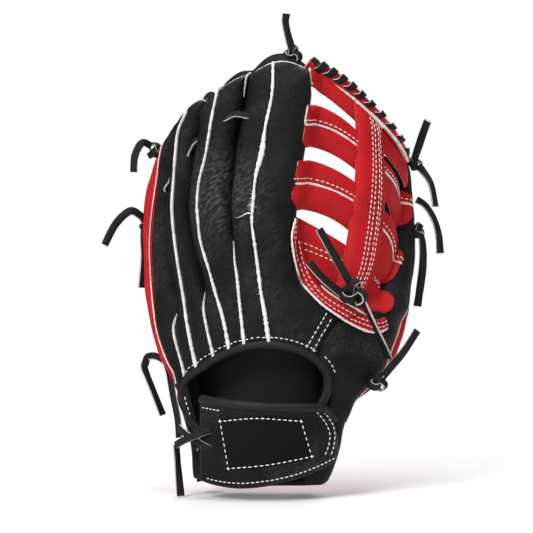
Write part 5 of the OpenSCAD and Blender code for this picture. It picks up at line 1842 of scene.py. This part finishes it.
# Ties between the fingers: height, then finger, share across, lift and height above that of each point
TIES = (
    (213.0, (0, 0.80, -3.0, -7.0), (0, 0.86, 1.0, -4.0), (0, 0.95, 1.4, 0.0), (1, 0.05, 1.0, 4.0),
     (1, 0.10, -3.0, 6.0)),
    (238.0, (1, 0.84, -3.0, -6.0), (1, 0.90, 1.0, -3.5), (1, 0.98, 1.4, 0.5), (2, 0.06, 1.0, 3.5),
     (2, 0.11, -3.0, 5.0)),
    (259.0, (2, 0.76, -4.0, -3.2), (2, 0.81, 1.2, -1.6), (2, 0.89, 1.6, 0.4), (2, 0.96, 1.5, 1.2), (3, 0.05, 1.2, 0.8),
     (3, 0.13, 0.4, 0.0), (3, 0.19, -4.0, -0.8)),
)
# Knots: middle, axis, size, width of the lace, seed
FINGER_KNOTS = (
    ((19.5, 34, 302.5), (0.2, -1, 0.1), 6.0, 4.8, 31),
    ((-80, 67, 234), (-0.8, -0.5, 0.1), 5.2, 4.6, 32),
    ((-86, 72, 182), (-0.8, -0.6, 0.0), 5.2, 4.6, 33),
)
THUMB_KNOTS = (
    ((109, 93, 226), (0.7, -0.6, 0.2), 5.4, 4.8, 35),
    ((111, 89, 176), (0.8, -0.5, 0.0), 5.2, 4.6, 36),
    ((79, 6, 72), (0.4, -0.9, 0.0), 6.2, 5.2, 37),
)
WEB_KNOT = ((62.0, -3.0, 135.0), (0.25, -1, 0.1), 9.4, 5.4, 38)


class GLOVE_OT_laces(bpy.types.Operator):
    """Makes the laces at the finger tips, the ties between the fingers and the knots"""

    bl_idname = "glove.laces"
    bl_label = "Laces and knots"

    def execute(self, context):
        r = POCKET_R - LAYER_GAP - 2.4
        points = []
        for i in range(4):
            for u, dip in ((0.08, 2.6), (0.3, 0.0), (0.7, 0.0), (0.92, 2.6)):
                t = tip_of(i, np.array(u)) - 9
                points.append(at(r + dip, across(i, u, t, 0), t))
        p = along(np.stack(points), 220)
        place(lace("lace_tips_front", p, -away(p), 5.0, 1.9, seed=21), "hand", "lace", "finger_tip_lace")
        crest = []
        for i in range(4):
            for u, up, lift in ((0.05, 0.4, 3.0), (0.28, 2.4, 4.6), (0.5, 2.9, 5.0), (0.72, 2.5, 4.6),
                                (0.95, 0.6, 3.0)):
                t = tip_of(i, np.array(u))
                crest.append(at(VALLEY_IN - 6 + lift, across(i, u, t, 0), t + up))
        p = along(np.stack(crest), 260)
        out = away(p) * 0.75 + np.array([0, 0, 0.66])
        place(lace("lace_tips_top", p, out, 6.6, 2.0, seed=22), "hand", "lace")
        ties = []
        for i, (t, *route) in enumerate(TIES):
            points = []
            for f, u, lift, up in route:
                h = np.array(t + up)
                top = stall_r(i, 0.66, h) + BACK_T + 0.8
                base = np.maximum(stall_r(f, u, h) + BACK_T + 0.9, top - 5.0)
                points.append(at(base + lift, across(f, u, h, 0), h))
            p = along(np.stack(points), 50)
            ties.append(lace(f"tie_{i}", p, away(p) + [0, 0, 0.75], 4.6, 2.0, seed=24 + i))
        place(joined("lace_ties", ties), "hand", "lace", "finger_ties")
        knots = [knot_mesh(f"finger_{k}", *knot) for k, knot in enumerate(FINGER_KNOTS)]
        end = along([[-82, 64, 238], [-88, 60, 240], [-93, 58, 231], [-94, 58, 219]], 30)
        knots.append(lace("finger_end", end, [-0.3, -1, 0.1], 5.2, 1.9, seed=34))
        place(joined("knots_fingers", knots), "hand", "lace", "finger_knots")
        knots = [knot_mesh(f"thumb_{k}", *knot) for k, knot in enumerate(THUMB_KNOTS)]
        place(joined("knots_thumb", knots), "thumb_side", "lace", "thumb_knots")
        place(knot_mesh("knot_web", *WEB_KNOT), "thumb_side", "lace", "web_knot")
        p = along([[-65, 37, 80], [-72, 34, 86], [-78.5, 38, 88.5], [-83.5, 43, 87.5], [-85.4, 45.4, 83]], 50)
        strands = [lace("heel_loop", p, [0.2, -1, 0.4], 5.2, 1.9, seed=39)]
        p = along([[-70, 33, 84], [-67.5, 28, 76], [-65, 22, 62], [-61.5, 14, 46], [-60.5, 9, 33]], 50)
        strands.append(lace("heel_strand", p, [-0.5, -1, 0.1], 4.6, 1.9, seed=42))
        place(joined("lace_pinky_heel", strands), "hand", "lace", "pinky_heel_lace")
        return {"FINISHED"}


SEWN_ON = {"stitches_hand": "hand", "stitches_web": "crease", "stitches_strap": "strap"}
# How far from its surface a row may be drawn, and how far a stitch stands off it, in metres
ROW_REACH, THREAD_LIFT = 0.009, 0.00008


class GLOVE_OT_stitches(bpy.types.Operator):
    """Sews every kept row with white thread"""

    bl_idname = "glove.stitches"
    bl_label = "Stitches"

    def execute(self, context):
        for _, surface, path, *_ in ROWS:
            press(surface, path)
        trees = {}
        for name in {surface for _, surface, *_ in ROWS}:
            points, faces = SURFACES[name]
            trees[name] = BVHTree.FromPolygons(points.tolist(), faces)
        groups = {}
        rng = np.random.default_rng(3)
        for group, surface, path, pitch, long in ROWS:
            pitch = size("stitch_pitch") if pitch is None else pitch
            share = (size("stitch_length") if long is None else long) / size("stitch_length")
            p = resampled(path, pitch)
            way = np.gradient(p, axis=0)
            for k, q in enumerate(p):
                spot, normal, _, far = trees[surface].find_nearest(Vector(q * MM))
                if spot is None or far > ROW_REACH:
                    continue
                w = Vector(way[k]).normalized()
                w = (w - normal * w.dot(normal)).normalized()
                got = groups.setdefault(group, ([], [], [], []))
                got[0].append(spot + normal * THREAD_LIFT)
                got[1].append(w)
                got[2].append(normal)
                got[3].append(share * (0.92 + 0.16 * rng.random()))
        tree = stitch_tree()
        for group, (points, ways, normals, reach) in groups.items():
            o = grown(group, tree, points, {"along": ways, "out": normals}, {"reach": reach},
                      {"Stitch length": size("stitch_length") * MM, "Thread width": size("thread_width") * MM,
                       "Thread height": size("thread_width") * 0.8 * MM, "Thread": MATERIALS["thread"]})
            place(o, SEWN_ON[group], "welt")
        return {"FINISHED"}


class GLOVE_PT_panel(bpy.types.Panel):
    """Lists the steps that make the glove"""

    bl_label = "Fielding glove"
    bl_idname = "GLOVE_PT_panel"
    bl_space_type = "VIEW_3D"
    bl_region_type = "UI"
    bl_category = "Glove"

    def draw(self, context):
        for step in STEPS:
            self.layout.operator(step.bl_idname)
        for group in (context.scene.glove_sizes, context.scene.glove_colours):
            box = self.layout.box()
            for key in group.__annotations__:
                box.prop(group, key)


STEPS = (GLOVE_OT_stage, GLOVE_OT_tails, GLOVE_OT_finger_backs, GLOVE_OT_welts, GLOVE_OT_palm, GLOVE_OT_linings,
         GLOVE_OT_thumb, GLOVE_OT_binding, GLOVE_OT_strap, GLOVE_OT_web, GLOVE_OT_laces, GLOVE_OT_stitches)
CLASSES = (GloveSizes, GloveColours, *STEPS, GLOVE_PT_panel)


def register():
    for c in CLASSES:
        bpy.utils.register_class(c)
    bpy.types.Scene.glove_sizes = PointerProperty(type=GloveSizes)
    bpy.types.Scene.glove_colours = PointerProperty(type=GloveColours)


def unregister():
    del bpy.types.Scene.glove_colours
    del bpy.types.Scene.glove_sizes
    for c in reversed(CLASSES):
        bpy.utils.unregister_class(c)


def main():
    register()
    for step in STEPS:
        group, name = step.bl_idname.split(".")
        getattr(getattr(bpy.ops, group), name)()


if __name__ == "__main__":
    main()
